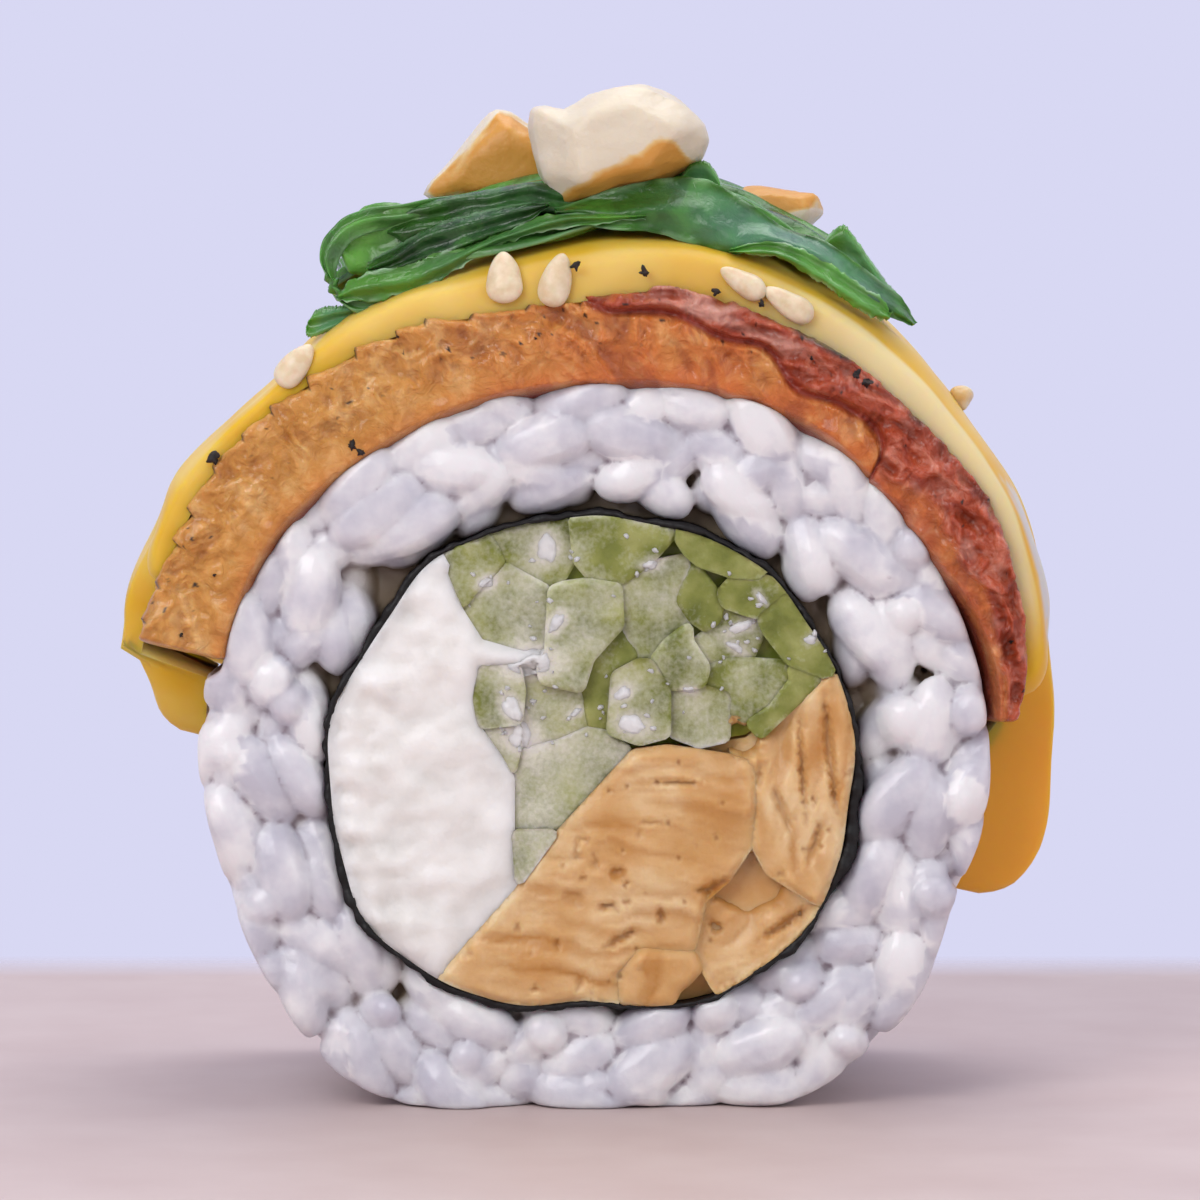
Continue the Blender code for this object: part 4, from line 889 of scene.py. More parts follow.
def makeFillings():
    look = fillings["cream_cheese"]
    cream = makeMaterial("creamCheese")
    fillingPiece(look["piece"], "cream_cheese", look, cheeseRelief, cream)
    look = fillings["cucumber"]
    flesh = makeMaterial("cucumberFlesh")
    draw = random.Random(5)
    sticks = []
    for number, milky in enumerate(look["milky"], 1):
        relief = cucumberRelief(milky)
        sticks.append(fillingPiece(f"cucumberStick{number:02d}", f"cucumber_stick_{number:02d}", look, relief,
                                   flesh, "smear"))
    makeDepths("cucumberDepths", makeMaterial("deepCucumber"), "cucumber_stick_12")
    egg = makeMaterial("layeredOmelette")
    makeDepths("omeletteDepths", egg, "omelette_slab")
    for node in ("omelette_slab", "omelette_edge", "omelette_fold", "omelette_tip"):
        look = fillings[node]
        fillingPiece(look["piece"], node, look, omeletteRelief(look), egg, "groove")
    surface = cutSurface(sticks)
    points, faces = [], []
    for side in (-1, 1):
        for number, (x, z, long, wide, turn) in enumerate(fillings["smears"]):
            addSmear(points, faces, surface, (x, z), (long, wide), turn, side, number)
        for number in range(fillings["specks"]):
            stick = fillings["smears"][number % len(fillings["smears"])]
            place = (stick[0] + draw.gauss(0, 1.3), stick[1] + draw.gauss(0, 1.3))
            if surface.ray_cast(Vector((place[0], side * 20, place[1])), Vector((0, -side, 0)))[0]:
                size = draw.uniform(0.07, 0.16)
                turn = draw.uniform(0, 180)
                addSmear(points, faces, surface, place, (size * 1.5, size), turn, side, number)
    addPiece("cheeseSmears", points, faces, cream, ["cream_cheese"])
    print("fillings: cheese, cucumber sticks and omelette in place")


# Eel

eel = {
    "start": 2.5, "end": 168.0,
    "glazeStep": 0.5, "flakeHeight": 0.45,
    "mostLift": 1.5,                # how far its cut face may stand out
    "slices": 660, "across": 42, "outerSteps": 24,
    # where its flakes end along the outer edge, and how far each drops to the next
    "steps": [(40, 0.3), (52, 0.3), (63, 0.3), (74, 0.35), (84, 0.4), (92, 0.45), (99, 0.3), (106, 0.3),
              (111.6, 0.5), (115.5, 0.3), (121.1, 0.65), (128.1, 0.6), (133.6, 0.55), (138.0, 0.3),
              (143.2, 0.4), (149.4, 0.55), (153.5, 0.6), (159.4, 0.35), (164.0, 0.3), (170.0, 0.3)],
    # charred specks on the cut: across, up, size
    "specks": [(-22.9, 39.4, 0.42), (-14.6, 40.1, 0.3), (-14.1, 39.7, 0.26), (-22.9, 32.3, 0.12),
               (-24.9, 28.7, 0.14), (2.9, 50.5, 0.3), (7.2, 49.3, 0.24), (-1.2, 50.9, 0.3),
               (9.9, 48.6, 0.22), (-11.9, 46.6, 0.12), (16.2, 43.9, 0.36), (15.6, 44.4, 0.3),
               (12.9, 45.3, 0.12), (-3.6, 46.5, 0.1), (24.9, 28.3, 0.12)],
    "inner": [(2, 24.2), (11, 24.5), (20, 24.2), (28, 23.5), (40, 23.2), (55, 23.4), (70, 22.8),
              (88, 22.1), (118, 22.2), (135, 22.7), (147, 23.2), (168, 23.1)],
    "outer": [(2, 25.0), (8, 26.0), (16, 26.8), (25, 27.4), (32, 27.9), (45, 27.7), (57, 27.9),
              (70, 27.9), (80, 28.1), (92, 27.0), (105, 27.0), (113, 27.7), (128, 28.0), (143, 28.5),
              (155, 28.2), (168, 28.4)],
    "crease": [(2, 20.0), (43, 22.0), (47, 25.2), (55, 25.4), (61, 24.8), (67, 26.2), (73, 25.9),
               (80, 26.6), (90, 26.6), (95, 29.0), (168, 30.0)],
}


def ridged(spot, size, seed):
    # noise from 0 in its valleys to 1 on narrow crests
    return 1 - abs(lumps(spot, size, seed)) * 2


def eelFlake(angle, y):
    # where in its flake a place is, from 0 at its start to 1 at the drop to the next, and the flake's height
    place = angle + 1.2 * lumps((angle * 0.2, y, 0), 3.0, 8) + 0.5 * y * (1 - abs(y) / half)
    steps = eel["steps"]
    for (start, _), (end, height) in zip(steps, steps[1:]):
        if start <= place < end:
            return (place - start) / (end - start), height
    return 0.5, 0.3


def eelOuter(angle, y=0.0):
    share, height = eelFlake(angle, y)
    eased = share if share < 0.92 else 0.92 * (1 - share) / 0.08
    along = math.radians(angle) * 28
    small = 0.16 * lumps((along, y * 0.3, 0), 1.1, 3) + 0.08 * lumps((along, y * 0.3, 0), 0.4, 5)
    return knotValue(eel["outer"], angle) + height * (eased - 0.5) * smooth(52, 85, angle) + small


def eelFront(angle, share, radius, side):
    # how far the cut face stands out at a place, and how glazed, grooved, charred, red and creased it is
    crease = knotValue(eel["crease"], angle)
    arc = math.radians(angle) * 26
    out = radius - 25
    spot = (arc, side * 8, out)
    glaze = smooth(92, 60, angle)
    if side < 0:
        glaze = smooth(-0.15, 0.35, radius - crease + 0.3 * lumps(spot, 1.5, 1))
    # the glaze has come off the flesh along the inner edge low on the right
    glaze *= 1 - 0.75 * smooth(48, 40, angle) * smooth(0.4, 0.15, share + 0.25 * lumps(spot, 1.6, 23))
    outerHalf = smooth(0.1, 0.5, share)
    bent = (arc + 0.7 * lumps(spot, 1.6, 14), side * 8, out + 0.7 * lumps(spot, 1.6, 15))
    lobes = lumps(bent, 2.4, 5)
    crumple = ridged(bent, 1.3, 4)
    fine = ridged(bent, 0.55, 6)
    # flesh under the glaze lies in slanting ridges
    slant = smooth(118, 100, angle)
    bias = (arc * 0.8 - out * 0.9, side * 8, (arc + out) * 0.3)
    ridges = ridged(bias, 1.7, 16)
    fleshLift = 0.4 * lobes + outerHalf * (0.26 * (crumple - 0.5) + 0.12 * (fine - 0.5))
    fleshLift += 0.3 * (ridges - 0.5) * slant
    berries = max(lumps((arc, side * 8, out), 0.9, 21) - 0.1, 0.0) * smooth(55, 30, angle)
    folds = ridged((arc * 0.45 + 0.4 * out, side * 8, out), 1.1, 7)
    strings = lumps((arc * 0.5, side * 8, out * 1.3), 1.3, 9)
    glazeLift = 0.4 * lobes + 0.55 * strings + 0.5 * (folds - 0.5) + 0.2 * (fine - 0.3) + 1.3 * berries
    glazeLift += eel["glazeStep"] * (1 if side < 0 else 0.3) * (0.5 + 0.5 * smooth(70, 40, angle))
    lift = fleshLift * (1 - glaze) + glazeLift * glaze
    # the valleys of the flesh and the folds of the glaze take the dark groove colour, partly glaze gathered
    # in them and partly painted shade
    valley = 0.22 * smooth(0.4, 0.05, crumple) * outerHalf + 0.15 * smooth(0.35, 0.05, fine) * outerHalf
    valley += 0.4 * smooth(0.5, 0.1, ridges) * slant
    folded = 0.55 * smooth(0.0, -0.4, strings) + 0.6 * smooth(0.5, 0.05, folds)
    groove = valley * (1 - glaze) + folded * glaze
    # the crease is sunk and painted dark red, partly glaze and partly painted shade in it
    creased = smooth(0.5, 0.05, abs(radius - crease)) * (side < 0) * smooth(98, 88, angle)
    lift -= 0.45 * creased
    flake = eelFlake(angle, side * half)[0]
    char = smooth(0.88, 1.0, share) * smooth(76, 60, angle) * smooth(28, 42, angle)
    char *= smooth(-0.2, 0.2, lumps(spot, 2.4, 9))
    char += smooth(0.93, 1.0, share) * smooth(0.1, 0.03, abs(flake - 0.95)) * smooth(80, 95, angle)
    char += smooth(0.6, 0.66, lumps(spot, 0.4, 12)) * smooth(0.3, 0.6, share)
    torn = smooth(-0.05, 0.3, lumps((arc * 0.4, side * 8, out), 1.3, 31))
    # pale pink membrane on the glaze, strongest near the top of the roll: partly the real membrane, partly a
    # painted highlight where light falls from above
    membrane = 0.8 * glaze * torn * smooth(54, 66, angle) * smooth(102, 92, angle) * (1 - creased)
    membrane += 0.5 * glaze * smooth(0.2, 0.5, lumps((arc * 0.5, side * 8, out), 1.0, 33))
    red = smooth(124, 82, angle) * (0.75 + 0.4 * lumps(spot, 2.2, 3))
    red += 0.35 * smooth(0.3, 0.0, share) * (1 - glaze)
    return lift, glaze, min(groove, 1.0), min(char, 1.0), min(max(red, 0.0), 1.0), creased, min(membrane, 1.0)


def makeEel():
    loops, marks = [], []
    slices, across = eel["slices"], eel["across"]
    hidden = (0.0, 1.0, 0.25, 0.3, 0.0, 0.0)
    for i in range(slices + 1):
        angle = eel["start"] + (eel["end"] - eel["start"]) * i / slices
        inner = knotValue(eel["inner"], angle)
        fromEnd = min(angle - eel["start"], eel["end"] - angle) * math.radians(26)
        keep = math.sqrt(max(1 - max(1 - fromEnd / 0.9, 0.0) ** 2, 0.02))
        loop, marked = [], []
        for side, shares in ((-1, range(across + 1)), (1, range(across, -1, -1))):
            if side == 1:
                for k in range(1, eel["outerSteps"]):
                    y = -half + 0.4 + (roll["depth"] - 0.8) * k / eel["outerSteps"]
                    radius = eelOuter(angle, y) + 0.15 * lumps((angle * 0.45, y, 3), 2.0, 7)
                    loop.append(ringPoint(radius, angle, y))
                    marked.append((smooth(100, 60, angle), 0.0, 0.0, 0.0, 0.0, 0.0))
            for k in shares:
                share = k / across
                radius = inner + share * (eelOuter(angle, side * half) - inner)
                lift, *mark = eelFront(angle, share, radius, side)
                edge = max(1 - min(share, 1 - share) * (28 - inner) / 0.4, 0.0)
                rounding = 0.35 * (1 - math.sqrt(max(1 - edge * edge, 0.0)))
                y = half + heldBelow(lift, eel["mostLift"], 0.5) - rounding
                loop.append(ringPoint(radius, angle, side * y))
                marked.append(mark)
        for y, sunk in ((half - 1.2, 0.5), (half - 3.0, 1.3), (0.0, 1.3), (3.0 - half, 1.3),
                        (1.2 - half, 0.5)):
            loop.append(ringPoint(inner - sunk, angle, y))
            marked.append(hidden)
        middle = sum(loop, Vector()) / len(loop)
        loops.append([middle + (p - middle) * keep for p in loop])
        marks += marked
    points, faces = [], []
    skinLoops(loops, points, faces)
    values = byLabel(("glaze", "groove", "char", "red", "crease", "membrane"), marks)
    slab = addPiece("eelSlab", points, faces, makeMaterial("grilledEel"), ["eel"], values)
    print("eel:", len(faces), "faces")

    surface = cutSurface([slab])
    points, faces = [], []
    for number, (x, z, size) in enumerate(eel["specks"]):
        # two crossed flakes each
        for down, long, wide, turn in ((0, 1.2, 0.6, 40), (0.3, 1.0, 0.45, 110)):
            addSmear(points, faces, surface, (x, z - down * size), (size * long, size * wide),
                     turn + 50 * number, -1, number)
    addPiece("charSpecks", points, faces, makeMaterial("burntFlakes"), ["eel"])


# Mango sauce and sesame

sauce = {
    "slices": 96, "steps": 260,
    "halfDepth": 13.4, "rightHem": 9.0, "leftHem": 157.0, "hemRounding": 4.5,
    "fullness": 2.6,                # how squarely it fills its depth before it drops to the edge
    "sink": 0.75,                   # how far its underside lies below its bed, so that no gap shows
    "radii": [(-22, 27.0), (-14, 28.2), (-4, 28.1), (5, 28.1), (12, 28.3), (18, 29.0), (29, 29.8),
              (37, 30.0), (48, 30.6), (56, 31.2), (66, 31.6), (75, 32.0), (88, 31.7), (105, 30.7),
              (121, 30.5), (131, 29.6), (139, 29.7), (148, 30.4), (154, 30.0), (162, 30.2), (168, 29.2),
              (174, 27.4), (182, 26.4)],
    # where a painted blue-white reflection of the backdrop lies on the sauce: angle, distance along the roll,
    # reach in both
    "milk": (24, -11.4, 10, 2.4),
    "rightDrips": [(-3.0, 4.1, -21.8), (7.5, 3.3, -6.2)],
    "leftDrips": [(-5.4, 4.4, 177.5), (6.0, 3.8, 171.0)],
}
sesame = {
    "thickness": 1.2, "rings": 18, "sides": 20,
    # angle and radius of each seed, side of the roll, tilt from upright, length and width
    "places": [(101, 28.8, -1, 3, 3.2, 2.05), (94.8, 28.2, -1, -14, 3.3, 1.8), (72.6, 29.2, -1, 58, 3.1, 1.4),
               (66.7, 28.8, -1, 57, 3.4, 1.5), (128, 29.1, -1, -38, 3.1, 1.7), (60, 29.2, 1, 40, 3.1, 1.9),
               (112, 29.0, 1, 10, 3.1, 1.9), (84, 29.2, 1, -50, 3.1, 1.9)],
}


def dripReach(y, hem, drips):
    reach = hem + 2.5 * math.sin(y * 0.9 + hem)
    for centre, halfWidth, tip in drips:
        across = ((y - centre) / halfWidth) ** 2
        reach += (tip - hem) * math.exp(-across ** 3) * (1 - 0.2 * min(across, 1.0))
    return reach


def sauceBed(angle):
    angle = (angle + 90) % 360 - 90
    bed = riceRadius(angle) + 0.9
    if underEel(angle, 1.2):
        place = min(max(angle, eel["start"]), eel["end"])
        bed = max(bed, knotValue(eel["outer"], place) + eel["flakeHeight"] / 2 + roll["gap"])
    return bed


def sauceSurface(angle, y):
    across = min(abs(y) / sauce["halfDepth"], 1.0)
    fullness = max(1 - across ** sauce["fullness"], 0.0) ** (1 / sauce["fullness"])
    bed = sauceBed(angle)
    full = knotValue(sauce["radii"], (angle + 90) % 360 - 90)
    wave = 0.25 * noise.noise(Vector((angle * 0.11, y * 0.25, 3.0)))
    return bed + max(full - bed, 0.6) * (0.12 + 0.88 * fullness) + wave


def makeSauce():
    loops, marks = [], []
    reflectionAngle, reflectionY, acrossReach, alongReach = sauce["milk"]
    slices, steps = sauce["slices"], sauce["steps"]
    for k in range(-1, slices + 2):
        t = 2 * min(max(k, 0), slices) / slices - 1
        y = sauce["halfDepth"] * (0.45 * t + 0.55 * math.sin(math.pi * t / 2))
        rim = k in (-1, slices + 1)
        right = dripReach(y, sauce["rightHem"], sauce["rightDrips"])
        left = dripReach(y, sauce["leftHem"], sauce["leftDrips"])
        top, under = [], []
        for i in range(steps + 1):
            share = i / steps
            share += 0.03 * math.sin(2 * math.pi * share)
            angle = right + (left - right) * share
            edge = min(max(min(angle - right, left - angle) / sauce["hemRounding"], 0.0), 1.0)
            rounding = (1 - (1 - edge) ** 2) ** 0.5
            bed = sauceBed(angle) - sauce["sink"]
            thick = (sauceSurface(angle, y) - bed) * rounding
            if rim:
                thick = 0.1
            top.append(ringPoint(bed + max(thick, 0.05), angle, y * (1.01 if rim else 1)))
            under.append(ringPoint(bed, angle, y))
            rimFrom = 0.93 + 0.045 * smooth(45, 18, angle)
            rimShare = smooth(rimFrom, rimFrom + 0.03, abs(y) / sauce["halfDepth"])
            amber = smooth(10, -6, angle) * 0.75 + smooth(75, 20, angle) * 0.4 * (1 - rimShare)
            pale = 0.2 * smooth(130, 110, angle) + 0.75 * smooth(76, 52, angle)
            # painted reflection: a ragged blue-white patch of the backdrop's reflection on the sauce's right
            # flank
            spot = math.hypot((angle - reflectionAngle) / acrossReach, (y - reflectionY) / alongReach)
            for weight, size, seed in ((0.5, 1.0, 7), (0.25, 0.4, 8)):
                spot += weight * lumps((angle * 0.25, y * 0.5, 0), size, seed)
            milk = 0.75 * smooth(1.15, 0.75, spot) * smooth(12.9, 12.1, abs(y))
            marks.append((amber, rimShare * pale * smooth(10, 22, angle), milk))
        loops.append(top + under[::-1])
        marks += [(0.3, 0.3, 0.0)] * len(under)
    points, faces = [], []
    skinLoops(loops, points, faces)
    values = byLabel(("amber", "pale", "milk"), marks)
    addPiece("sauceCoat", points, faces, makeMaterial("mangoSauce"), ["mango_sauce"], values)
    print("sauce:", len(faces), "faces")

    points, faces = [], []
    for angle, radius, side, tilt, long, wide in sesame["places"]:
        bed = sauceBed(angle)
        share = (radius - bed) / (knotValue(sauce["radii"], angle) - bed)
        share = min(max((share - 0.12) / 0.88, 0.05), 0.95)
        y = side * sauce["halfDepth"] * (1 - share ** sauce["fullness"]) ** (1 / sauce["fullness"])
        here = ringPoint(sauceSurface(angle, y), angle, y)
        normal = (outwardAt(angle) * share * 0.8 + Vector((0, side, 0)) * (1 - share * 0.4)).normalized()
        turn = math.radians(90 + tilt)
        along = Vector((math.cos(turn), 0, math.sin(turn)))
        along = along - normal * along.dot(normal)
        size = (long / 2, wide / 2, sesame["thickness"] / 2)
        addGrain(points, faces, here + normal * 0.3, along, normal, size, 0.0, 0.32,
                 sesame["rings"], sesame["sides"], lambda place: place)
    addPiece("sesameSeeds", points, faces, makeMaterial("sesameSeed"), ["mango_sauce"])


# Seaweed salad

seaweed = {
    "top": [(50, 0.4), (56, 0.7), (64, 1.1), (71, 1.3), (78, 2.0), (90, 2.5), (102, 2.5), (112, 2.2),
            (119, 1.8), (123, 0.8)],
    "thickness": 0.7, "seed": 22,
    "coreRows": 70, "ribbons": 9,
    "steps": 110, "across": 18,             # how finely a sheet or ribbon is made, along and across
    # sheets that show in front: upper and lower edge across the cut face, how far in front of the middle
    # each edge lies, and shares of painted light, painted teal sheen and frayed edge
    "sheets": [
        # dark band under the nuts, from the loop to the right
        ([(-12.6, 54.1), (-9.0, 54.9), (-6.4, 55.4), (-3.6, 55.8), (-1.0, 55.2), (2.0, 54.8)],
         [(-12.6, 51.9), (-10.6, 52.3), (-7.6, 53.2), (-4.8, 54.0), (-1.6, 53.8), (2.0, 53.6)],
         9.6, 10.4, 0.05, 0.05, 0.1),
        # sheet inside the loop, given painted light so that it shows pale
        ([(-15.2, 54.0), (-12.8, 54.6), (-10.2, 54.3), (-7.2, 54.6), (-5.2, 54.8)],
         [(-15.9, 50.6), (-13.8, 50.2), (-11.6, 51.2), (-9.2, 52.0), (-6.4, 53.0)],
         9.4, 9.8, 1.0, 0.1, 0.1),
        # dark strip that crosses it
        ([(-14.2, 50.8), (-12.4, 51.8), (-9.6, 53.3), (-6.4, 54.2), (-2.8, 54.9)],
         [(-13.4, 50.3), (-11.2, 50.9), (-8.2, 51.9), (-5.2, 53.0), (-2.8, 54.0)],
         10.8, 11.4, 0.0, 0.05, 0.3),
        # bottom band, frayed along its upper edge
        ([(-15.6, 49.8), (-14.0, 50.4), (-11.6, 50.8), (-10.0, 51.3), (-7.6, 52.1), (-5.2, 53.0),
          (-2.4, 53.9), (3.0, 54.3)],
         [(-15.4, 48.0), (-13.3, 48.7), (-10.9, 49.2), (-9.0, 50.2), (-7.0, 51.3), (-5.2, 52.2),
          (-2.4, 53.0), (3.0, 53.3)],
         11.6, 12.0, 0.55, 0.1, 0.75),
        # broad ribbon to the right
        ([(-2.6, 54.8), (0.0, 55.2), (3.6, 56.0), (6.6, 56.0), (9.0, 54.7), (11.4, 53.1), (13.8, 52.3),
          (16.2, 50.6), (18.6, 48.8), (19.8, 47.6)],
         [(-2.4, 53.3), (0.0, 53.0), (3.4, 52.8), (6.0, 52.0), (8.4, 51.5), (10.8, 51.9), (13.4, 50.8),
          (15.4, 49.0), (17.2, 47.8), (18.6, 46.9)],
         10.4, 12.0, 0.15, 0.45, 0.3),
        # thin end below it, and its frayed tip
        ([(8.0, 52.0), (10.8, 52.3), (13.6, 51.3), (16.0, 49.6), (18.0, 48.4)],
         [(8.0, 51.4), (10.8, 51.3), (13.6, 49.7), (15.6, 48.3), (17.4, 47.1)],
         11.6, 12.4, 0.8, 0.1, 0.7),
        # peaks behind
        ([(4.6, 55.0), (5.6, 56.8), (6.8, 57.0), (7.8, 55.4)],
         [(4.4, 54.0), (5.8, 54.2), (6.8, 54.2), (8.0, 54.0)], 8.6, 8.6, 0.8, 0.3, 0.3),
        ([(13.4, 52.0), (14.8, 53.2), (15.6, 52.6), (17.6, 49.8), (19.0, 48.4)],
         [(13.2, 50.6), (14.6, 50.2), (15.6, 49.8), (17.2, 48.4), (18.6, 47.6)], 8.8, 9.0, 0.9, 0.3, 0.5),
        # curl at the foot of the loop
        ([(-17.2, 48.0), (-16.4, 48.3), (-15.4, 48.4), (-14.0, 48.4)],
         [(-17.7, 46.6), (-17.0, 46.5), (-15.8, 47.0), (-14.2, 47.6)], 10.2, 10.4, 0.5, 0.4, 0.4),
    ],
    # rounded rim of the loop: points along its middle, and its width
    "rim": ([(-3.2, 55.4), (-6.4, 54.8), (-9.4, 54.2), (-11.6, 53.8), (-13.6, 53.5), (-15.2, 52.8),
             (-16.1, 51.5), (-16.1, 50.2), (-15.4, 49.0), (-14.3, 48.3), (-13.0, 48.5)], 1.5),
}


def catmull(knots, count):
    # smooth path through points, in so many steps
    path = []
    last = len(knots) - 1
    for i in range(count + 1):
        place = i / count * last
        k = min(int(place), last - 1)
        t = place - k
        p0, p1, p2, p3 = (Vector(knots[min(max(k + d, 0), last)]) for d in (-1, 0, 1, 2))
        path.append(0.5 * (2 * p1 + (p2 - p0) * t + (2 * p0 - 5 * p1 + 4 * p2 - p3) * t * t
                           + (3 * p1 - p0 - 3 * p2 + p3) * t ** 3))
    return path


def addRibbon(points, faces, marks, path, width, turn, seed):
    # a ribbon along a path, tapered, ruffled and folded
    count = len(path)
    loops = []
    for i, here in enumerate(path):
        along = (path[min(i + 1, count - 1)] - path[max(i - 1, 0)]).normalized()
        outward = Vector((here.x - roll["ringX"], 0, here.z - roll["ringZ"])).normalized()
        side = along.cross(outward)
        side = side.normalized() if side.length > 0.2 else Vector((0, 1, 0))
        if side.y < 0:
            side = -side
        tilt = math.radians(turn + 16 * math.sin(i * 0.1 + seed))
        flat = side * math.cos(tilt) + outward * math.sin(tilt)
        thin = flat.cross(along).normalized()
        taper = 0.35 + 0.65 * math.sin(math.pi * (i + 0.5) / count) ** 0.5
        upper, lower = [], []
        for k in range(13):
            u = k / 6 - 1
            ruffle = 0.25 * abs(u) * lumps((i * 0.08, u * 2, seed), 1.0, seed)
            fold = 0.2 * math.sin(u * 5 + seed) + 0.2 * lumps((i * 0.04, u * 1.5, seed * 2), 1.0, seed + 1)
            body = here + flat * (u * width * taper / 2) + thin * (ruffle + fold)
            thick = seaweed["thickness"] / 2 * math.sqrt(max(1 - u * u, 0.04))
            upper.append(body + thin * thick)
            lower.append(body - thin * thick)
            shade = 0.35 + 0.5 * lumps((i * 0.05, u, seed), 1.0, 4)
            marks.append((max(shade, 0.0), 0.05, 0.3 * smooth(0.8, 1.0, abs(u))))
        loops.append(upper + lower[::-1])
        marks += marks[-len(upper):][::-1]
    skinLoops(loops, points, faces)


def addSheet(points, faces, marks, sheet, number):
    # a sheet between two edges that face the front, rippled, thinned to rounded edges at its rims and frayed
    # in places
    upperEdge, lowerEdge, upperOut, lowerOut, light, teal, fray = sheet
    steps, across = seaweed["steps"], seaweed["across"]
    upperPath = catmull([(x, -upperOut, z) for x, z in upperEdge], steps)
    lowerPath = catmull([(x, -lowerOut, z) for x, z in lowerEdge], steps)
    loops = []
    for i, (high, low) in enumerate(zip(upperPath, lowerPath)):
        front, back = [], []
        place = i / steps
        ends = min(place, 1 - place) * steps
        for k in range(across + 1):
            u = k / across
            here = low.lerp(high, 0.5 + (u - 0.5) * (0.3 + 0.7 * smooth(0, 16, ends)))
            rim = min(u, 1 - u) * 2
            torn = lumps((i * 0.25, u, number), 1.0, 3) + 0.6 * lumps((i * 0.7, u, number), 1.0, 5)
            torn *= 0.28 * fray
            here += (high - low).normalized() * torn * (u - 0.5) * 2 * smooth(0.5, 0.0, rim)
            ripple = 0.3 * lumps(here, 2.2, number)
            ripple += 0.22 * math.sin(u * 9 + 2 * lumps(here, 3.0, 8) + number)
            ripple += 0.1 * lumps((here.x * 0.6, 0, here.z * 1.6), 0.9, 9)
            here.y -= ripple
            thick = seaweed["thickness"] / 2 * math.sqrt(max(1 - (1 - rim) ** 2, 0.02))
            thick *= min(1.0, 0.3 + ends / 6)
            front.append(here + Vector((0, -thick, 0)))
            back.append(here + Vector((0, thick, 0)))
            nearRim = smooth(0.3, 0.02, rim) * smooth(-0.25, 0.15, lumps(here, 1.4, 6))
            patch = smooth(-0.2, 0.35, lumps((here.x, number, here.z), 3.0, 2))
            # painted teal sheen across the middle of a sheet, away from its ends and rims
            sheenShare = teal * smooth(0.15, 0.5, place) * smooth(0.95, 0.75, place) * smooth(0.1, 0.4, rim)
            marks.append((light * (0.5 + 0.5 * patch), sheenShare, fray * nearRim))
        marks += marks[-len(front):][::-1]
        loops.append(front + back[::-1])
    skinLoops(loops, points, faces)


def makeSeaweed():
    points, faces, marks = [], [], []
    loops = []
    lastRow = seaweed["coreRows"] - 1
    for i in range(lastRow + 1):
        loop = []
        for k in list(range(19)) + [18, 9, 0]:      # over the top and back underneath
            y = (k - 9.0) * (0.92 + 0.2 * lumps((i * 0.12, k > 9, 0), 1.0, 12))
            first = 58 + 9 * lumps((y * 0.35, 0, 0), 1.0, 2)
            last = 114 + 9 * lumps((y * 0.35, 3, 0), 1.0, 2)
            angle = first + (last - first) * i / lastRow
            height = max(1 - (y / 9.6) ** 2, 0.0) ** 0.5 * 0.56 * knotValue(seaweed["top"], angle)
            height = max(height, 0.3) * smooth(-1, 4, min(i, lastRow - i))
            height += 0.5 * lumps((angle * 0.4, y * 0.6, 0), 1.6, 3)
            under = len(loop) > 18
            loop.append(ringPoint(sauceSurface(angle, y) + (-0.4 if under else 0.15 + height), angle, y))
        loops.append(loop)
        marks += [(0.1, 0.1, 0.0)] * len(loop)
    skinLoops(loops, points, faces)
    draw = random.Random(seaweed["seed"])
    for number in range(seaweed["ribbons"]):
        y = -9.6 + 19.2 * number / (seaweed["ribbons"] - 1)
        first = 52 + draw.uniform(0, 14)
        last = 122 - draw.uniform(0, 16)
        path = []
        for i in range(9):
            angle = first + (last - first) * i / 8
            sway = 1.6 * math.sin(i * 0.9 + number * 1.9)
            level = 0.55 + 0.35 * math.sin(i * 1.1 + number * 2.3)
            depth = y + sway
            across = max(1 - (depth / 13) ** 2, 0.1) ** 0.5
            radius = sauceSurface(angle, depth) + 0.7 + knotValue(seaweed["top"], angle) * level * across
            path.append(ringPoint(radius, angle, depth))
        addRibbon(points, faces, marks, catmull(path, seaweed["steps"]), draw.uniform(3.0, 5.0),
                  draw.uniform(-30, 30), number)
    for number, sheet in enumerate(seaweed["sheets"]):
        addSheet(points, faces, marks, sheet, number)
    middle, width = seaweed["rim"]
    rim = catmull([(x, -8.8 - 0.28 * k, z) for k, (x, z) in enumerate(middle)], 150)
    addRibbon(points, faces, marks, rim, width, 62, 3)
    values = byLabel(("light", "teal", "fray"), marks)
    addPiece("wakameHeap", points, faces, makeMaterial("wakameRibbon"), ["seaweed_salad"], values)
    print("seaweed:", len(faces), "faces")


# Nuts

nuts = {
    "cuts": 6, "easing": 2,                 # how finely each is made, and how soft its edges are
    "swell": 0.14,
    # the front piece is toasted below this line: across, up
    "toastLine": [(-4.0, 53.6), (-2.0, 55.3), (0.2, 56.6), (2.6, 57.8), (4.2, 58.5), (5.4, 57.6),
                  (7.0, 56.4)],
    "dip": (-1.6, 0.9, 1.3),                # across, depth and half width of the dip in its top
    # direction of each other piece's toasted side, and how far the toast reaches round
    "toasted": {2: ((0.35, -0.9, 0.1), 0.2), 3: ((0.2, -0.3, 0.8), 0.2), 4: ((0.0, 1.0, 0.2), 0.1)},
    "crumb": ((22.4, -4.0, 42.6), 0.75),
}


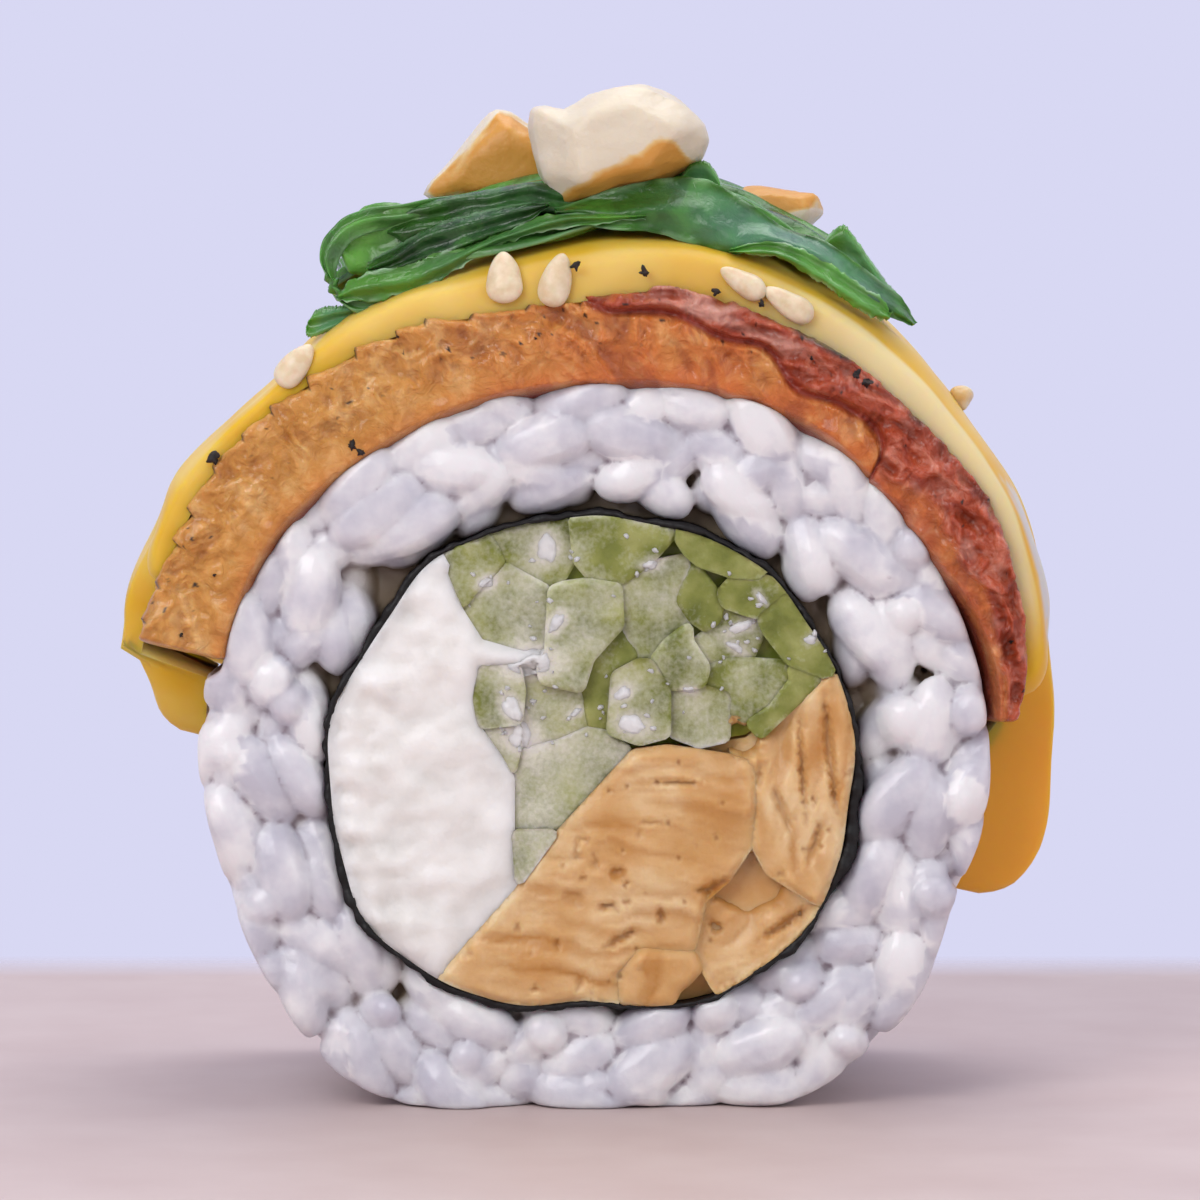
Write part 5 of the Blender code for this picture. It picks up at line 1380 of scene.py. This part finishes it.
def makeNuts():
    toasted = makeMaterial("toastedNut")
    dipX, dipDepth, dipWidth = nuts["dip"]
    for number in range(1, 5):
        bm = weldedNode(f"nut_piece_{number}")
        bmesh.ops.scale(bm, vec=(1000, 1000, 1000), verts=bm.verts)
        bmesh.ops.subdivide_edges(bm, edges=bm.edges, cuts=nuts["cuts"], use_grid_fill=True)
        for _ in range(nuts["easing"]):
            bmesh.ops.smooth_vert(bm, verts=bm.verts, factor=0.5,
                                  use_axis_x=True, use_axis_y=True, use_axis_z=True)
        bm.normal_update()
        toast, points = [], []
        for vert in bm.verts:
            wobble = 0.25 * lumps(vert.co, 2.0, number + 3)
            if number == 1:
                under = knotValue(nuts["toastLine"], vert.co.x) + 0.5 * wobble - vert.co.z
                toast.append(smooth(-0.15, 0.5, under) if vert.co.y < -7 else 0.3)
                across = (vert.co.x - dipX - 0.3 * (60 - vert.co.z)) / dipWidth
                vert.co.z -= dipDepth * math.exp(-across ** 2) * smooth(57.5, 60.0, vert.co.z)
            else:
                direction, reach = nuts["toasted"][number]
                facing = vert.normal.dot(Vector(direction).normalized())
                toast.append(smooth(reach, reach + 0.35, facing + wobble))
            bumpy = 0.22 * lumps(vert.co, 2.2, number) + 0.06 * ridged(vert.co, 0.8, number)
            points.append(vert.co + vert.normal * (bumpy + nuts["swell"]))
        bm.verts.index_update()
        faces = [[v.index for v in face.verts] for face in bm.faces]
        bm.free()
        addPiece(f"nutPiece{number}", points, faces, toasted, [f"nut_piece_{number}"],
                 {"toast": toast})
    centre, size = nuts["crumb"]
    bm = bmesh.new()
    bmesh.ops.create_icosphere(bm, subdivisions=4, radius=size)
    points = [Vector(centre) + v.co * (1 + 0.35 * lumps(v.co, 0.7, 4)) for v in bm.verts]
    faces = [[v.index for v in face.verts] for face in bm.faces]
    bm.free()
    addPiece("nutCrumb", points, faces, toasted, ["mango_sauce"], {"toast": [0.35] * len(points)})
    print("nuts in place")


# Table, light and camera

studio = {
    "backdrop": "#D8D8F3",
    "tableBack": 62.0, "fade": 12.0,
    "distance": 380.0, "lens": 190.0, "elevation": 3.8, "aim": (0.24, -14.0, 30.8),
    "air": ("#E4E0F0", 0.5),
    # lamps: power, place and size
    "lamps": {"key": (0.95, (-190, -300, 260), 240), "fill": (0.35, (260, -260, 120), 300),
              "top": (0.5, (40, 60, 320), 220)},
}


def addBoard(name, corners, material):
    mesh = bpy.data.meshes.new(name)
    mesh.from_pydata([[number * mm for number in corner] for corner in corners], [], [(0, 1, 2, 3)])
    mesh.materials.append(material)
    return addObject(name, mesh)


def makeStudio():
    material = makeMaterial("tableTop")
    tree = material.node_tree
    where = addNode(tree, "ShaderNodeTexCoord").outputs["Object"]
    place = addNode(tree, "ShaderNodeSeparateXYZ", {0: where})
    back = studio["tableBack"]
    fade = addNode(tree, "ShaderNodeMapRange",
                   {"Value": place.outputs["Y"], "From Min": (back - studio["fade"]) * mm,
                    "From Max": back * mm, "To Min": 1.0, "To Max": 0.0})
    tree.links.new(fade.outputs[0], tree.nodes["Principled BSDF"].inputs["Alpha"])
    table = addBoard("tableTop", [(-900, -700, -0.02), (900, -700, -0.02), (900, back, -0.02),
                                  (-900, back, -0.02)], material)
    glow = bpy.data.materials.new("backdropGlow")
    glow.use_nodes = True
    tree = glow.node_tree
    tree.nodes.clear()
    light = addNode(tree, "ShaderNodeEmission", {"Color": studio["backdrop"], "Strength": 1.0})
    addNode(tree, "ShaderNodeOutputMaterial", {"Surface": light.outputs[0]})
    backdrop = addBoard("backdrop", [(-900, 420, -500), (900, 420, -500), (900, 420, 900),
                                     (-900, 420, 900)], glow)

    world = bpy.data.worlds.new("studioAir")
    bpy.context.scene.world = world
    world.use_nodes = True
    air = world.node_tree.nodes["Background"]
    tint, strength = studio["air"]
    air.inputs["Color"].default_value = hexToLinear(tint)
    air.inputs["Strength"].default_value = strength

    for name, (power, spot, size) in studio["lamps"].items():
        lamp = bpy.data.lights.new(name + "Light", "AREA")
        lamp.energy = power
        lamp.size = size * mm
        holder = addObject(name + "Light", lamp)
        holder.location = Vector(spot) * mm
        holder.rotation_euler = (Vector((0, 0, 30)) - Vector(spot)).to_track_quat("-Z", "Y").to_euler()

    lens = bpy.data.cameras.new("photoCamera")
    lens.lens = studio["lens"]
    lens.sensor_width = 36.0
    lens.clip_start = 0.01
    camera = addObject("photoCamera", lens)
    tilt = math.radians(studio["elevation"])
    away = Vector((0, -math.cos(tilt), math.sin(tilt))) * studio["distance"]
    camera.location = (Vector(studio["aim"]) + away) * mm
    camera.rotation_euler = (-away).to_track_quat("-Z", "Y").to_euler()
    bpy.context.scene.camera = camera
    bpy.context.scene.view_settings.view_transform = "Standard"
    print("studio ready")


makeRice()
makeNori()
makeFillings()
makeEel()
makeSauce()
makeSeaweed()
makeNuts()
makeStudio()
